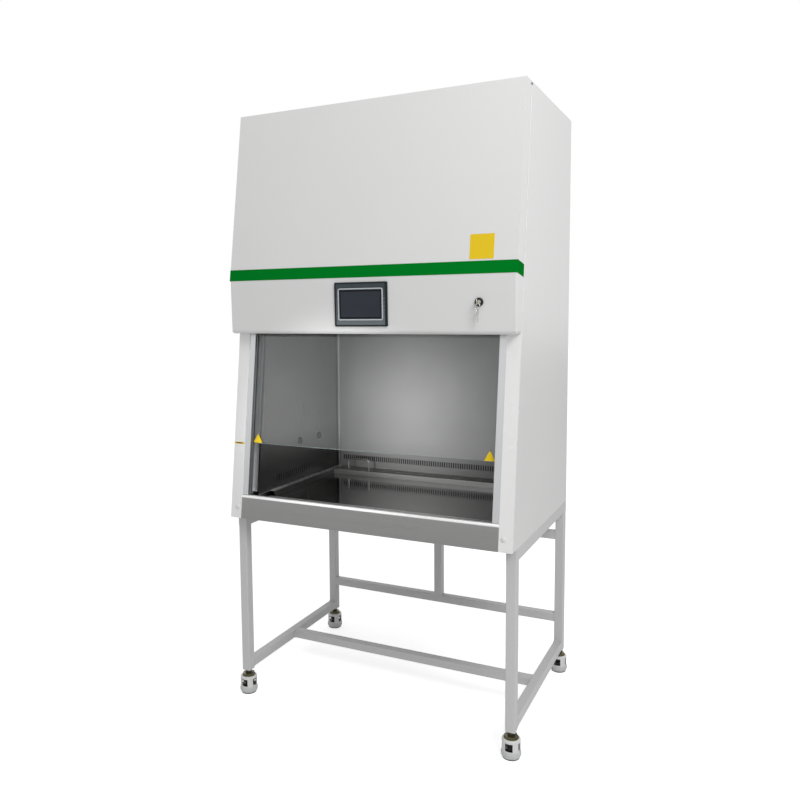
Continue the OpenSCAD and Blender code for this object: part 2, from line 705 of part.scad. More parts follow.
// ---------------------------------------------------------------- hinged front cowl
// outer side view of the cowl, shrunk by d to give its inner wall; its back stays open
function cowl_outline(d) = let (
    yt = line_y(overall_h) - cowl_top_out + d, yk = line_y(knee_z) - cowl_knee_out + d,
    yf = fascia_y(cowl_z + cowl_roll_r) + d, r = cowl_roll_r - d)
    concat([[yt, overall_h - d], [yk, knee_z], [yf, cowl_z + cowl_roll_r]],
           arc(yf + r, cowl_z + cowl_roll_r, r, 180, 270, 6));
module cowl_side(d, back) polygon(concat(cowl_outline(d), [
    [line_y(cowl_z) + back, cowl_z + d], [line_y(overall_h - d) + back, overall_h - d]]));
module on_fascia(x, z) translate([x, fascia_y(z), z]) rotate([cowl_tilt, 0, 0]) children();

// the cowl's outer body, or its hollow when shrunk by d: rounded lower corners and upright edges
module cowl_body(d, back) {
    w = half_w - d;
    r = cowl_edge_r - d;
    r2 = cowl_corner_r - d;
    difference() {
        intersection() {
            across(-w, w) cowl_side(d, back);
            back_from(-far / 2, far) {
                translate([-w - past, cowl_z + cowl_corner_r]) square([2 * (w + past), far]);
                translate([-w + r2, cowl_z - past]) square([2 * (w - r2), cowl_corner_r + 2 * past]);
                for (s = [-1, 1]) translate([s * (w - r2), cowl_z + cowl_corner_r]) circle(r = r2);
            }
        }
        for (s = [0, 1]) mirror([s, 0, 0]) on_fascia(w - r, cowl_z) translate([0, d * cos(cowl_tilt), -50])
            linear_extrude((knee_z - cowl_z) / cos(cowl_tilt) + 50) difference() {
                translate([0, -past]) square([r + past, r + past]);
                translate([0, r]) circle(r = r);
            }
    }
}

module front_cowl() {
    top_back = hinge_y - hinge_r - 1.5;
    color("white") difference() {
        union() {
            difference() {
                cowl_body(0, -cowl_gap);
                cowl_body(skin_t, 40);
                // clearance for the hinge knuckles
                translate([-far / 2, top_back, overall_h - 20]) cube([far, 40, 40]);
            }
            for (x = hinge_at) translate([x, hinge_y, hinge_z]) {
                rod_x(hinge_r, -hinge_len / 6 + free_gap, hinge_len / 6 - free_gap);
                translate([-hinge_len / 6 + free_gap, -22, overall_h - skin_t - 1.5 - hinge_z])
                    cube([hinge_len / 3 - 2 * free_gap, 20, 1.5]);
            }
        }
        for (x = hinge_at) translate([x, hinge_y, hinge_z])
            rod_x(hinge_pin_r + run_gap, -hinge_len / 2, hinge_len / 2);
        on_fascia(0, panel_z) translate([-panel_w / 2 + 5, -5, -panel_h / 2 + 5])
            cube([panel_w - 10, 15, panel_h - 10]);
        on_fascia(key_x, key_z) rotate([-90, 0, 0]) translate([0, 0, -5]) cylinder(r = key_collar_d / 2 - 3, h = 15);
    }
}

// the band is laid round the front and sides of the cowl, just above its knee
module green_band() {
    lean = atan((line_y(overall_h) - cowl_top_out - line_y(knee_z) + cowl_knee_out) / (overall_h - knee_z));
    y0 = line_y(knee_z) - cowl_knee_out;
    y1 = y0 + band_h * tan(lean);
    t = band_t / cos(lean);
    // the side returns run square to the upper face, so they fall towards the posts
    z0 = knee_z - cowl_knee_out * tan(lean);
    z1 = z0 + band_h;
    cut = 30;
    color("green") difference() {
        across(-half_w - band_t, half_w + band_t) polygon([
            [y0 - t, knee_z], [line_y(z0) - cowl_gap, z0],
            [line_y(z1) - cowl_gap, z1], [y1 - t, knee_z + band_h]]);
        across(-half_w, half_w) polygon([
            [y0 - cut * tan(lean), knee_z - cut], [line_y(knee_z) + 50, knee_z - cut],
            [line_y(knee_z) + 50, knee_z + band_h + cut], [y1 + cut * tan(lean), knee_z + band_h + cut]]);
    }
}

module panel_bezel() color("slategray") on_fascia(0, panel_z) rotate([90, 0, 0]) difference() {
    union() {
        linear_extrude(panel_proud - 2) rounded_rect(panel_w, panel_h, 5);
        translate([0, 0, panel_proud - 2]) linear_extrude(2) rounded_rect(panel_w - 6, panel_h - 6, 4);
        translate([0, 0, -panel_back]) linear_extrude(panel_back) rounded_rect(panel_w - 12, panel_h - 12, 3);
    }
    translate([-screen_w / 2 - 3, -screen_h / 2 - 3, panel_proud - 3]) cube([screen_w + 6, screen_h + 6, 9]);
    for (k = [0 : 3]) translate([panel_w / 2 - 11, -18 + 12 * k, panel_proud - 1])
        cylinder(r = 1.6, h = 5, $fn = 16);
}
module panel_screen() color("black") on_fascia(0, panel_z) rotate([90, 0, 0])
    translate([-screen_w / 2 - 2.8, -screen_h / 2 - 2.8, panel_proud - 3]) cube([screen_w + 5.6, screen_h + 5.6, 2]);

key_proud = 6;
module key_switch() color("black") on_fascia(key_x, key_z) rotate([90, 0, 0]) difference() {
    union() {
        rotate_extrude() polygon(concat([[0, 0], [key_collar_d / 2, 0]],
            arc(key_collar_d / 2 - 2, key_proud - 2, 2, 0, 90, 4), [[0, key_proud]]));
        translate([0, 0, -30]) cylinder(r = key_collar_d / 2 - 3.3, h = 30 + past);
    }
    translate([0, 0, -24]) cylinder(r = key_plug_d / 2 + run_gap, h = 40);
}
// turning plug with the key standing in it; the bow has a hole for the ring
bow_r = 11;
bow_y = key_proud + 11;
bow_hole = 2.6;
bow_t = 2;
module key() color("silver") on_fascia(key_x, key_z) rotate([90, 0, 0]) {
    translate([0, 0, -23.5]) cylinder(r = key_plug_d / 2, h = 23.5 + key_proud);
    difference() {
        union() {
            translate([-bow_t / 2, -4, key_proud - past]) cube([bow_t, 8, 5]);
            translate([0, 0, bow_y]) rotate([0, 90, 0]) cylinder(r = bow_r, h = bow_t, center = true);
        }
        translate([0, -4, bow_y]) rotate([0, 90, 0]) cylinder(r = bow_hole, h = 10, center = true);
        translate([-5, -bow_r - 1, key_proud - 12]) cube([10, 7, 12]);
        translate([-5, bow_r - 6, key_proud - 12]) cube([10, 7, 12]);
    }
}
// split ring through the bow with the spare key hanging in it
ring_in = 9;
ring_wire = 0.8;
module spare_key() color("silver") on_fascia(key_x, key_z)
    translate([0, -bow_y, -4 - bow_hole + ring_wire + 0.3 - ring_in]) {
        rotate([90, 0, 0]) rotate_extrude($fn = 40) translate([ring_in, 0]) circle(r = ring_wire, $fn = 16);
        translate([0, 0, -ring_in - 8]) rotate([0, 90, 0]) difference() {
            union() {
                cylinder(r = 10, h = bow_t, center = true);
                translate([0, -3.5, -bow_t / 2]) cube([32, 7, bow_t]);
            }
            translate([-7.2, 0, 0]) cylinder(r = 2, h = 10, center = true, $fn = 24);
            for (k = [0 : 2]) translate([16 + 5 * k, 3.5, 0]) rotate([0, 0, 45]) cube([2.4, 2.4, 10], center = true);
        }
    }

module cowl_hinge() color("silver") for (x = hinge_at) translate([x, hinge_y, hinge_z]) {
    for (s = [-1, 1]) {
        rod_x(hinge_r, s > 0 ? hinge_len / 6 : -hinge_len / 2, s > 0 ? hinge_len / 2 : -hinge_len / 6);
        translate([s > 0 ? hinge_len / 6 : -hinge_len / 2, 2, overall_h - skin_t - 1.5 - hinge_z])
            cube([hinge_len / 3, 20, 1.5]);
    }
    rod_x(hinge_pin_r, -hinge_len / 2, hinge_len / 2);
}

// ---------------------------------------------------------------- services
inlet_x = -0.7 * half_w;
inlet_z = body_z + 180;
inlet_w = 48;
inlet_h = 28;
module power_inlet() color("black") translate([inlet_x, rear_y, inlet_z]) rotate([90, 0, 180]) {
    difference() {
        union() {
            linear_extrude(3) rounded_rect(inlet_w + 14, inlet_h + 8, 4);
            translate([-inlet_w / 2 + 0.3, -inlet_h / 2 + 0.3, -28]) cube([inlet_w - 0.6, inlet_h - 0.6, 28]);
        }
        translate([0, 0, -18]) linear_extrude(30) polygon([[-15, -9], [15, -9], [15, 4], [10, 9], [-10, 9], [-15, 4]]);
    }
    for (p = [[-7, -2], [0, 2], [7, -2]]) translate([p[0] - 1, p[1] - 2, -19]) cube([2, 4, 14]);
}

valve_z = body_z - 40;
module drain_valve() color("gold") translate([drain_x, drain_y, 0]) difference() {
    union() {
        translate([0, 0, body_z + skin_t]) cylinder(r = 16, h = 4);
        translate([0, 0, valve_z - 42]) cylinder(r = drain_r - run_gap, h = body_z - valve_z + 46);
        translate([0, 0, body_z - 18]) mirror([0, 0, 1]) cylinder(r = 17, h = 44, $fn = 8);
        translate([0, 0, body_z - 4]) cylinder(r = 15, h = 4, $fn = 6);
        translate([0, 0, valve_z]) rod_x(8, -26, 0);
        translate([0, 0, valve_z]) rod_x(4, -34, 0);
    }
    translate([0, 0, valve_z - 50]) cylinder(r = 6, h = 120);
}
// lever on the valve's spindle: level when shut, upright when open
module drain_lever() color("firebrick") translate([drain_x - 26.4, drain_y, valve_z]) difference() {
    union() {
        mirror([1, 0, 0]) rod_x(9, 0, 4);
        translate([-4, -78, -7]) cube([4, 74, 14]);
        translate([-2, -78, 0]) rotate([0, 90, 0]) cylinder(r = 7, h = 4, center = true);
    }
    rod_x(4 + run_gap, -9, 9);
}

// ---------------------------------------------------------------- stand
module tube_box(p, size) translate(p) cube(size);
// square tubes with rounded corners, from their lowest corner: upright, along Y and along X
module tube_up(p, l) translate(p + [tube / 2, tube / 2, 0]) linear_extrude(l) rounded_rect(tube, tube, tube_r);
module tube_y(p, h, l) translate(p + [tube / 2, l, h / 2]) rotate([90, 0, 0]) linear_extrude(l)
    rounded_rect(tube, h, tube_r);
module tube_x(p, h, l) translate(p + [0, tube / 2, h / 2]) rotate([90, 0, 90]) linear_extrude(l)
    rounded_rect(tube, h, tube_r);
// one welded side: two legs, a top tube and a lower bar
module stand_side() color("gainsboro") {
    y0 = leg_front - tube / 2;
    y1 = leg_rear + tube / 2;
    x0 = leg_x - tube / 2;
    w = tube_wall;
    difference() {
        union() {
            for (y = [y0, y1 - tube]) tube_up([x0, y, caster_h], body_z - caster_h);
            tube_y([x0, y0, rail_z], rail_h, y1 - y0);
            tube_y([x0, y0 + tube / 2, low_bar_z], bar_h, y1 - y0 - tube);
        }
        for (y = [y0, y1 - tube]) tube_box([x0 + w, y + w, caster_h - past],
                                           [tube - 2 * w, tube - 2 * w, body_z - caster_h - w + past]);
        tube_box([x0 + w, y0 + w, rail_z + w], [tube - 2 * w, y1 - y0 - 2 * w, rail_h - 2 * w]);
        tube_box([x0 + w, y0 + w, low_bar_z + w], [tube - 2 * w, y1 - y0 - 2 * w, bar_h - 2 * w]);
    }
}
// rear rails with their middle post, and the stretcher between the side bars
module stand_crossbars() color("gainsboro") {
    x = leg_x - tube / 2;
    y0 = leg_rear - tube / 2;
    w = tube_wall;
    difference() {
        union() {
            for (z = [rear_bar_z, upper_bar_z]) tube_x([-x, y0, z], bar_h, 2 * x);
            tube_up([-tube / 2, y0, rear_bar_z + bar_h / 2], upper_bar_z - rear_bar_z);
        }
        for (z = [rear_bar_z, upper_bar_z])
            tube_box([-x - past, y0 + w, z + w], [2 * (x + past), tube - 2 * w, bar_h - 2 * w]);
    }
    difference() {
        tube_x([-x, -tube / 2, low_bar_z], bar_h, 2 * x);
        tube_box([-x - past, -tube / 2 + w, low_bar_z + w], [2 * (x + past), tube - 2 * w, bar_h - 2 * w]);
    }
}

// ---------------------------------------------------------------- casters
module caster_stems() color("dimgray") for (p = caster_at) translate([p[0], p[1], 0]) {
    s = tube - 2 * tube_wall;
    translate([-s / 2, -s / 2, caster_h]) cube([s, s, low_bar_z + tube_wall - caster_h]);
    translate([0, 0, barrel_top - 12]) cylinder(r = stem_d / 2, h = caster_h - barrel_top + 12);
    translate([0, 0, barrel_top + 8.3]) cylinder(r = 13, h = caster_h - barrel_top - 8.3, $fn = 6);
}
// swivelling barrel with windows to the wheel and the axle across it
module caster_body(i) translate([caster_at[i][0], caster_at[i][1], 0]) {
    axle_r = 3.5;
    wall = 3.5;
    window_w = 26;
    color("ivory") difference() {
        rotate_extrude() polygon(concat([[0, barrel_z], [barrel_r, barrel_z]],
            arc(barrel_r - 5, barrel_top - 5, 5, 0, 90, 5), [[0, barrel_top]]));
        translate([0, 0, barrel_z - past]) cylinder(r = barrel_r - wall, h = barrel_top - 6 - barrel_z + past);
        translate([0, 0, barrel_z]) cylinder(r = stem_d / 2 + run_gap, h = 60);
        for (a = [0, 90]) rotate([0, 0, a]) translate([-far / 2, -window_w / 2, ring_top + 3])
            cube([far, window_w, barrel_top - 10 - ring_top - 3]);
    }
    color("darkkhaki") difference() {
        union() {
            translate([0, 0, barrel_top]) cylinder(r = 25, h = 2);
            translate([0, 0, barrel_top + 2]) cylinder(r = 24, h = 6, $fn = 6);
        }
        translate([0, 0, barrel_top - past]) cylinder(r = stem_d / 2 + run_gap, h = 20);
    }
    color("dimgray") intersection() {
        translate([0, wheel_trail, axle_z]) rod_x(axle_r, -barrel_r, barrel_r);
        cylinder(r = barrel_r - wall / 2, h = far);
    }
}
module caster_wheel(i) color("black") translate([caster_at[i][0], caster_at[i][1] + wheel_trail, axle_z]) difference() {
    rotate([0, 90, 0]) rotate_extrude() polygon(concat(
        [[0, -wheel_w / 2 + 2], [wheel_d / 2 - 6, -wheel_w / 2 + 2], [wheel_d / 2 - 5, -wheel_w / 2]],
        arc(wheel_d / 2 - 2, -wheel_w / 2 + 2, 2, -90, 0, 4), arc(wheel_d / 2 - 2, wheel_w / 2 - 2, 2, 0, 90, 4),
        [[wheel_d / 2 - 5, wheel_w / 2], [wheel_d / 2 - 6, wheel_w / 2 - 2], [0, wheel_w / 2 - 2]]));
    rod_x(3.5 + run_gap, -20, 20);
}
// foot ring that screws down round the barrel until its pad takes the load
module foot_ring(i) translate([caster_at[i][0], caster_at[i][1], 0]) {
    hole_r = barrel_r - 6;
    color("lightgray") rotate_extrude() polygon([
        [hole_r, pad_h], [ring_r - 4, pad_h], [ring_r, pad_h + 8], [ring_r, ring_top - 6], [ring_r - 1.5, ring_top - 2],
        [barrel_r + 0.6, ring_top], [barrel_r + run_gap, ring_top], [barrel_r + run_gap, ring_floor],
        [hole_r, ring_floor]]);
    color("black") rotate_extrude() polygon([
        [hole_r, 0], [ring_r - 5.5, 0], [ring_r - 5, pad_h], [hole_r, pad_h]]);
}

to_left() side_panel();  // side_panel_left
side_panel();  // side_panel_right
rear_panel();
top_panel();
base_pan();
apron();
armrest();
to_left() post();  // post_left
post();  // post_right
post_caps();
liner_rear();
to_left() liner(true);  // liner_left
liner(false);  // liner_right
service_plugs();
diffuser();
lamps();
supply_filter();
exhaust_filter();
plenum();
blower_housing();
blower_motor();
blower_rotor();
to_left() guide();  // guide_left
guide();  // guide_right
sash_glass();
sash_clamps();
lift_shaft();
lift_motor();
lift_belts();
idler_pulleys();
work_tray();
rear_grille();
tray_handles();
front_cowl();
green_band();
panel_bezel();
panel_screen();
key_switch();
key();
spare_key();
cowl_hinge();
power_inlet();
drain_valve();
drain_lever();
to_left() stand_side();  // stand_left
stand_side();  // stand_right
stand_crossbars();
caster_stems();
caster_body(0);  // caster_body_fl
caster_body(1);  // caster_body_fr
caster_body(2);  // caster_body_rl
caster_body(3);  // caster_body_rr
caster_wheel(0);  // caster_wheel_fl
caster_wheel(1);  // caster_wheel_fr
caster_wheel(2);  // caster_wheel_rl
caster_wheel(3);  // caster_wheel_rr
foot_ring(0);  // foot_ring_fl
foot_ring(1);  // foot_ring_fr
foot_ring(2);  // foot_ring_rl
foot_ring(3);  // foot_ring_rr
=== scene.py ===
import math

import bmesh
import bpy
import numpy as np
from mathutils import Matrix, Vector


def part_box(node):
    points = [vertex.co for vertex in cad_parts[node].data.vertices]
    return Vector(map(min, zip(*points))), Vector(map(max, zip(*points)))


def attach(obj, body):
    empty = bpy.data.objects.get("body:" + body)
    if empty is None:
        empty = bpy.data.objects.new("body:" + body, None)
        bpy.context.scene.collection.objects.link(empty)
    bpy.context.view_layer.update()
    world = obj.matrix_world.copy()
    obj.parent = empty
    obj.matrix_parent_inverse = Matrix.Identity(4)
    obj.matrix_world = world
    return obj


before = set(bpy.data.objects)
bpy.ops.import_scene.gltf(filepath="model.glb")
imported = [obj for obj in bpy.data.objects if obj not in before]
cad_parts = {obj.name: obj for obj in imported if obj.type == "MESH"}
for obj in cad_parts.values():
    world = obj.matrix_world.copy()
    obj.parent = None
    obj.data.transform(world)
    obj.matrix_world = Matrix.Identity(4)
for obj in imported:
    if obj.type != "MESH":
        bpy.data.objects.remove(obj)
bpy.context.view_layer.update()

MM = 0.001
CORNERS = ("fl", "fr", "rl", "rr")
LEAN = math.radians(7)            # backward lean of the posts, guides and sash
GLASS_T = 6 * MM                  # thickness of the sash glass
TUBE = 34 * MM                    # width of the stand's square tube
BAR_H = 32 * MM                   # height of its lower bars
REAR_BAR_Z = 207 * MM             # underside of its lower rear bar
BARREL_TOP = 67 * MM              # where a caster's nylon ends and its zinc begins
PAD_TOP = 4 * MM                  # where a foot ring's rubber ends
LEDGE_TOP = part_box("rear_grille")[1].z
SKIN = 0.4 * MM                   # a point this near a face counts as on it
SUNK = 0.1 * MM                   # how far a plate or a screw goes into what carries it
MERGE = 1e-6                      # points nearer than this become one


# ---------------------------------------------------------------- shader maths
class Wire:
    """A socket that carries a value. Arithmetic on it adds Math nodes to its network."""

    def __init__(self, network, socket):
        self.network = network
        self.socket = socket

    def _math(self, operation, first, second=None):
        """Adds one Math node that works on one value or two."""
        values = {0: first} if second is None else {0: first, 1: second}
        return self.network.add("ShaderNodeMath", {"operation": operation}, values)

    def __add__(self, other):
        return self._math("ADD", self, other)

    def __sub__(self, other):
        return self._math("SUBTRACT", self, other)

    def __rsub__(self, other):
        return self._math("SUBTRACT", other, self)

    def __mul__(self, other):
        return self._math("MULTIPLY", self, other)

    def __truediv__(self, other):
        return self._math("DIVIDE", self, other)

    def __gt__(self, other):
        return self._math("GREATER_THAN", self, other)

    def __lt__(self, other):
        return self._math("LESS_THAN", self, other)

    def __abs__(self):
        return self._math("ABSOLUTE", self)

    __radd__ = __add__
    __rmul__ = __mul__

    def wave(self):
        """Sine of the value, in radians."""
        return self._math("SINE", self)

    def high(self, other):
        """The higher of the two values."""
        return self._math("MAXIMUM", self, other)

    def low(self, other):
        """The lower of the two values."""
        return self._math("MINIMUM", self, other)


class Network:
    """The nodes of one material or world."""

    MIX_FACTOR, MIX_FIRST, MIX_SECOND, MIX_RESULT = 0, 6, 7, 2    # a Mix node's colour sockets

    def __init__(self, tree):
        self.nodes = tree.nodes
        self.links = tree.links

    def put(self, socket, value):
        """Sets a socket to a number or colour, or links a wire to it."""
        if isinstance(value, Wire):
            self.links.new(value.socket, socket)
        elif socket.type == "RGBA" and len(value) == 3:
            socket.default_value = (*value, 1)
        else:
            socket.default_value = value

    def add(self, kind, settings=None, values=None, out=0):
        """Makes a node: its settings first, then the values or wires of its sockets."""
        node = self.nodes.new(kind)
        for key, value in (settings or {}).items():
            setattr(node, key, value)
        for key, value in (values or {}).items():
            self.put(node.inputs[key], value)
        return Wire(self, node.outputs[out])

    def blend(self, share, first, second):
        """Colour that goes from first to second as share goes from 0 to 1."""
        values = {self.MIX_FACTOR: share, self.MIX_FIRST: first, self.MIX_SECOND: second}
        return self.add("ShaderNodeMix", {"data_type": "RGBA"}, values, self.MIX_RESULT)


class Finish(Network):
    """One material: a Principled shader and the nodes that feed it."""

    def __init__(self, name):
        self.material = bpy.data.materials.new(name)
        self.material.use_nodes = True
        super().__init__(self.material.node_tree)
        self.shader = self.nodes["Principled BSDF"]

    def place(self):
        """Position on the piece, in metres."""
        return self.add("ShaderNodeTexCoord", out="Object")

    def axes(self):
        """The three coordinates of the position, each by itself."""
        split = self.nodes.new("ShaderNodeSeparateXYZ")
        self.put(split.inputs[0], self.place())
        return [Wire(self, output) for output in split.outputs]

    def noise(self, size, detail=3, rough=0.5, stretch=(1, 1, 1)):
        """Noise whose features are about size metres across, drawn out by stretch."""
        scale = tuple(1 / (size * s) for s in stretch)
        place = self.add("ShaderNodeMapping", {}, {"Vector": self.place(), "Scale": scale})
        values = {"Vector": place, "Scale": 1.0, "Detail": detail, "Roughness": rough}
        return self.add("ShaderNodeTexNoise", {}, values)

    def near_edge(self, node, margins):
        """1 within a margin of the sides of a node's box, else 0; two margins, keyed by axis number."""
        lo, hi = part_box(node)
        axes = self.axes()
        near = [abs(axes[k] - (lo[k] + hi[k]) / 2) > (hi[k] - lo[k]) / 2 - margin
                for k, margin in margins.items()]
        return near[0].high(near[1])

    def relief(self, height, depth, strength=0.5):
        """Normal of a surface whose height varies by depth metres."""
        values = {"Height": height, "Distance": depth, "Strength": strength}
        return self.add("ShaderNodeBump", {}, values)

    def dress(self, **sockets):
        """Feeds the shader's sockets, named with underscores for spaces."""
        for key, value in sockets.items():
            self.put(self.shader.inputs[key.replace("_", " ")], value)
        return self


def shade(colour, factor):
    """The colour made lighter or darker by a factor."""
    return tuple(min(1.0, c * factor) for c in colour)


# ---------------------------------------------------------------- finishes
def powder_coat(name, colour, gloss=0.34, shine=0.5):
    """Stoved powder paint: orange peel, faint cloudiness and uneven gloss."""
    f = Finish(name)
    clouds = f.noise(0.35, 4, 0.55)
    grains = f.noise(0.004, 2)
    peel = f.noise(0.0022, 2, 0.4)
    tone = f.blend(clouds * 0.7 + grains * 0.3, shade(colour, 0.965), shade(colour, 1.03))
    return f.dress(Base_Color=tone,
                   Roughness=gloss + (clouds - 0.5) * 0.12,
                   Specular_IOR_Level=shine,
                   Normal=f.relief(peel, 0.12 * MM))


def coat_with_painted_shade_inside(name, colour, node, painted_shade=(0.02, 0.02, 0.021)):
    """Powder paint on the outer face of a rear sheet, near-black painted shade on its inner face, which
    darkens the duct seen through the slots.
    """
    f = Finish(name)
    y = f.axes()[1]
    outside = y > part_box(node)[1].y - SKIN
    clouds = f.noise(0.35, 4, 0.55)
    peel = f.noise(0.0022, 2, 0.4)
    paint = f.blend(clouds, shade(colour, 0.965), shade(colour, 1.03))
    return f.dress(Base_Color=f.blend(outside, painted_shade, paint),
                   Roughness=0.7 - outside * 0.4 + (clouds - 0.5) * 0.1,
                   Normal=f.relief(peel, 0.12 * MM))


def brushed_sheet(name, colour, along, rough=0.27, depth=0.03 * MM, streaks=0.12, metal=1.0, foot=None):
    """Stainless sheet brushed along one axis: long fine streaks in tone, gloss and relief.

    Where foot is given as (height, height, share), painted shade darkens the tone to that share
    of the colour below the lower height and fades out by the upper one, and a painted highlight makes the
    ledge's top at LEDGE_TOP near white and less metallic.
    """
    f = Finish(name)
    draw = tuple(60 if k == along else 1 for k in range(3))
    fine = f.noise(0.0009, 3, 0.6, draw)
    broad = f.noise(0.012, 3, 0.5, draw)
    stains = f.noise(0.16, 4, 0.6)
    streak = fine * 0.6 + broad * 0.4
    brushed = f.blend(streak, shade(colour, 1 - streaks), shade(colour, 1 + streaks))
    tone = f.blend(stains * 0.35, brushed, shade(colour, 0.9))
    if foot:
        low, high, share = foot
        z = f.axes()[2]
        # painted shade: the tone falls to share of the colour below low and rises to full by high
        rise = ((z - low) / (high - low)).high(0.0).low(1.0)
        # painted highlight: the ledge's top is made near white and less metallic
        ledge = (z > LEDGE_TOP - SKIN) * (z < LEDGE_TOP + SKIN)
        tone = f.blend(rise, shade(colour, share), tone)
        tone = f.blend(ledge, tone, (0.93, 0.93, 0.92))
        metal = metal - ledge * 0.5
    return f.dress(Base_Color=tone,
                   Metallic=metal,
                   Roughness=rough + (streak - 0.5) * 0.16 + (stains - 0.5) * 0.08,
                   Normal=f.relief(streak, depth, 0.6))


def drawn_aluminium(name, colour):
    """Anodised extrusion with fine die lines up its length."""
    f = Finish(name)
    lines = f.noise(0.0006, 2, 0.5, (1, 1, 400))
    dull = f.noise(0.05, 3)
    return f.dress(Base_Color=f.blend(lines, shade(colour, 0.9), shade(colour, 1.05)),
                   Metallic=0.85,
                   Roughness=0.33 + (dull - 0.5) * 0.1,
                   Normal=f.relief(lines, 0.03 * MM))


def clear_glass(name):
    """Float glass: a mirror where it reflects, clear elsewhere, with wiped smears."""
    f = Finish(name)
    mirror = f.add("ShaderNodeFresnel", {}, {"IOR": 1.52})
    smears = f.noise(0.06, 4, 0.6, (1, 1, 3))
    film = (smears - 0.45).high(0.0) * 0.03
    return f.dress(Base_Color=(0.93, 0.97, 0.96),
                   Metallic=1.0,
                   Roughness=0.03 + (smears - 0.5).high(0.0) * 0.2,
                   Alpha=(mirror * 0.85 + 0.005 + film).low(1.0))


def moulded(name, colour, rough=0.42, grain=0.0011, depth=0.06 * MM, tint=0.06, shine=0.3):
    """Moulded plastic with a fine spark texture and faint flow marks."""
    f = Finish(name)
    spark = f.noise(grain, 2, 0.6)
    flow = f.noise(0.03, 3, 0.5)
    tone = f.blend(flow * 0.6 + spark * 0.4, shade(colour, 1 - tint), shade(colour, 1 + tint))
    return f.dress(Base_Color=tone,
                   Roughness=rough + (flow - 0.5) * 0.12,
                   Specular_IOR_Level=shine,
                   Normal=f.relief(spark, depth))


def plated(name, colour, rough=0.28, tarnish=(0.52, 0.47, 0.3)):
    """Plated metal: crystalline patches and a faint warm passivation."""
    f = Finish(name)
    patches = f.add("ShaderNodeTexVoronoi", {}, {"Vector": f.place(), "Scale": 120.0}, "Color")
    grey = f.add("ShaderNodeRGBToBW", {}, {0: patches})
    spread = f.noise(0.012, 3)
    return f.dress(Base_Color=f.blend(spread * 0.5 + grey * 0.2, colour, tarnish),
                   Metallic=1.0,
                   Roughness=rough + (grey - 0.5) * 0.14)


def toothed_belt(name, pitch=5 * MM):
    """Belt with cross teeth: a sine wave up its run."""
    f = Finish(name)
    z = f.axes()[2]
    teeth = (z * (2 * math.pi / pitch)).wave()
    return f.dress(Base_Color=f.blend(teeth * 0.5 + 0.5, (0.012, 0.012, 0.012), (0.05, 0.05, 0.05)),
                   Roughness=0.6 + teeth * 0.05,
                   Normal=f.relief(teeth, 0.3 * MM, 0.8))


def display_glass(name):
    """Dark display: near black with a blue cast, a matt frame at its edge."""
    f = Finish(name)
    rim = f.near_edge("panel_screen", {0: 5 * MM, 2: 6 * MM})
    cloud = f.noise(0.08, 2)
    face = f.blend(cloud, (0.024, 0.031, 0.042), (0.036, 0.044, 0.056))
    return f.dress(Base_Color=f.blend(rim, face, (0.004, 0.005, 0.006)),
                   Roughness=0.22 + rim * 0.15 + (cloud - 0.5) * 0.05,
                   Specular_IOR_Level=0.2)


def framed_bezel(name):
    """Slate moulding with a darker outer frame, lighter toward its foot."""
    lo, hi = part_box("panel_bezel")
    head = 20 * MM                # depth of the band under its top that stays dark
    f = Finish(name)
    z = f.axes()[2]
    rim = f.near_edge("panel_bezel", {0: 8 * MM, 2: 6 * MM})
    grain = f.noise(0.0011, 2, 0.6)
    flow = f.noise(0.03, 3, 0.5)
    foot = ((hi.z - head - z) / (hi.z - lo.z)).high(0.0).low(1.0)
    slate = f.blend(foot * 0.8 + flow * 0.2, (0.034, 0.048, 0.055), (0.185, 0.215, 0.230))
    return f.dress(Base_Color=f.blend(rim, slate, (0.014, 0.020, 0.024)),
                   Roughness=0.42 + (flow - 0.5) * 0.12,
                   Specular_IOR_Level=0.25,
                   Normal=f.relief(grain, 0.06 * MM))


def two_zones(name, edge, below, above):
    """Two finishes in one moulding, split at the height edge; each is (colour, roughness, metallic)."""
    f = Finish(name)
    z = f.axes()[2]
    upper = z > edge
    grain = f.noise(0.0015, 3, 0.6)
    cloud = f.noise(0.02, 3)
    base = f.blend(upper, below[0], above[0])
    dark = f.blend(upper, shade(below[0], 0.8), shade(above[0], 0.85))
    return f.dress(Base_Color=f.blend(cloud * 0.6 + grain * 0.2, base, dark),
                   Roughness=below[1] + upper * (above[1] - below[1]) + (grain - 0.5) * 0.12,
                   Metallic=below[2] + upper * (above[2] - below[2]),
                   Normal=f.relief(grain, 0.08 * MM))


def filter_pack(name, node):
    """A metal frame round folded paper, told apart by how near the edge they lie."""
    frame_w = 12.2 * MM
    f = Finish(name)
    metal = f.near_edge(node, {0: frame_w, 1: frame_w})
    fibres = f.noise(0.0007, 4, 0.7)
    paper = f.blend(fibres, (0.84, 0.83, 0.79), (0.93, 0.93, 0.9))
    return f.dress(Base_Color=f.blend(metal, paper, (0.6, 0.61, 0.62)),
                   Metallic=metal * 0.9,
                   Roughness=0.85 - metal * 0.5,
                   Normal=f.relief(fibres, 0.2 * MM))


def tube_lamp(name, node):
    """Frosted glass tube with metal caps and pale sockets at its ends."""
    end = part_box(node)[1].x
    socket_in, cap_in = 20.5 * MM, 34 * MM
    f = Finish(name)
    x = f.axes()[0]
    socket = abs(x) > end - socket_in
    cap = (abs(x) > end - cap_in) * (1 - socket)
    frost = f.noise(0.01, 2)
    glow = f.blend(frost, (0.9, 0.91, 0.9), (0.96, 0.96, 0.95))
    tube = f.blend(cap, glow, (0.62, 0.62, 0.63))
    return f.dress(Base_Color=f.blend(socket, tube, (0.8, 0.8, 0.78)),
                   Metallic=cap * 0.9,
                   Roughness=0.2 + socket * 0.25 + frost * 0.05)


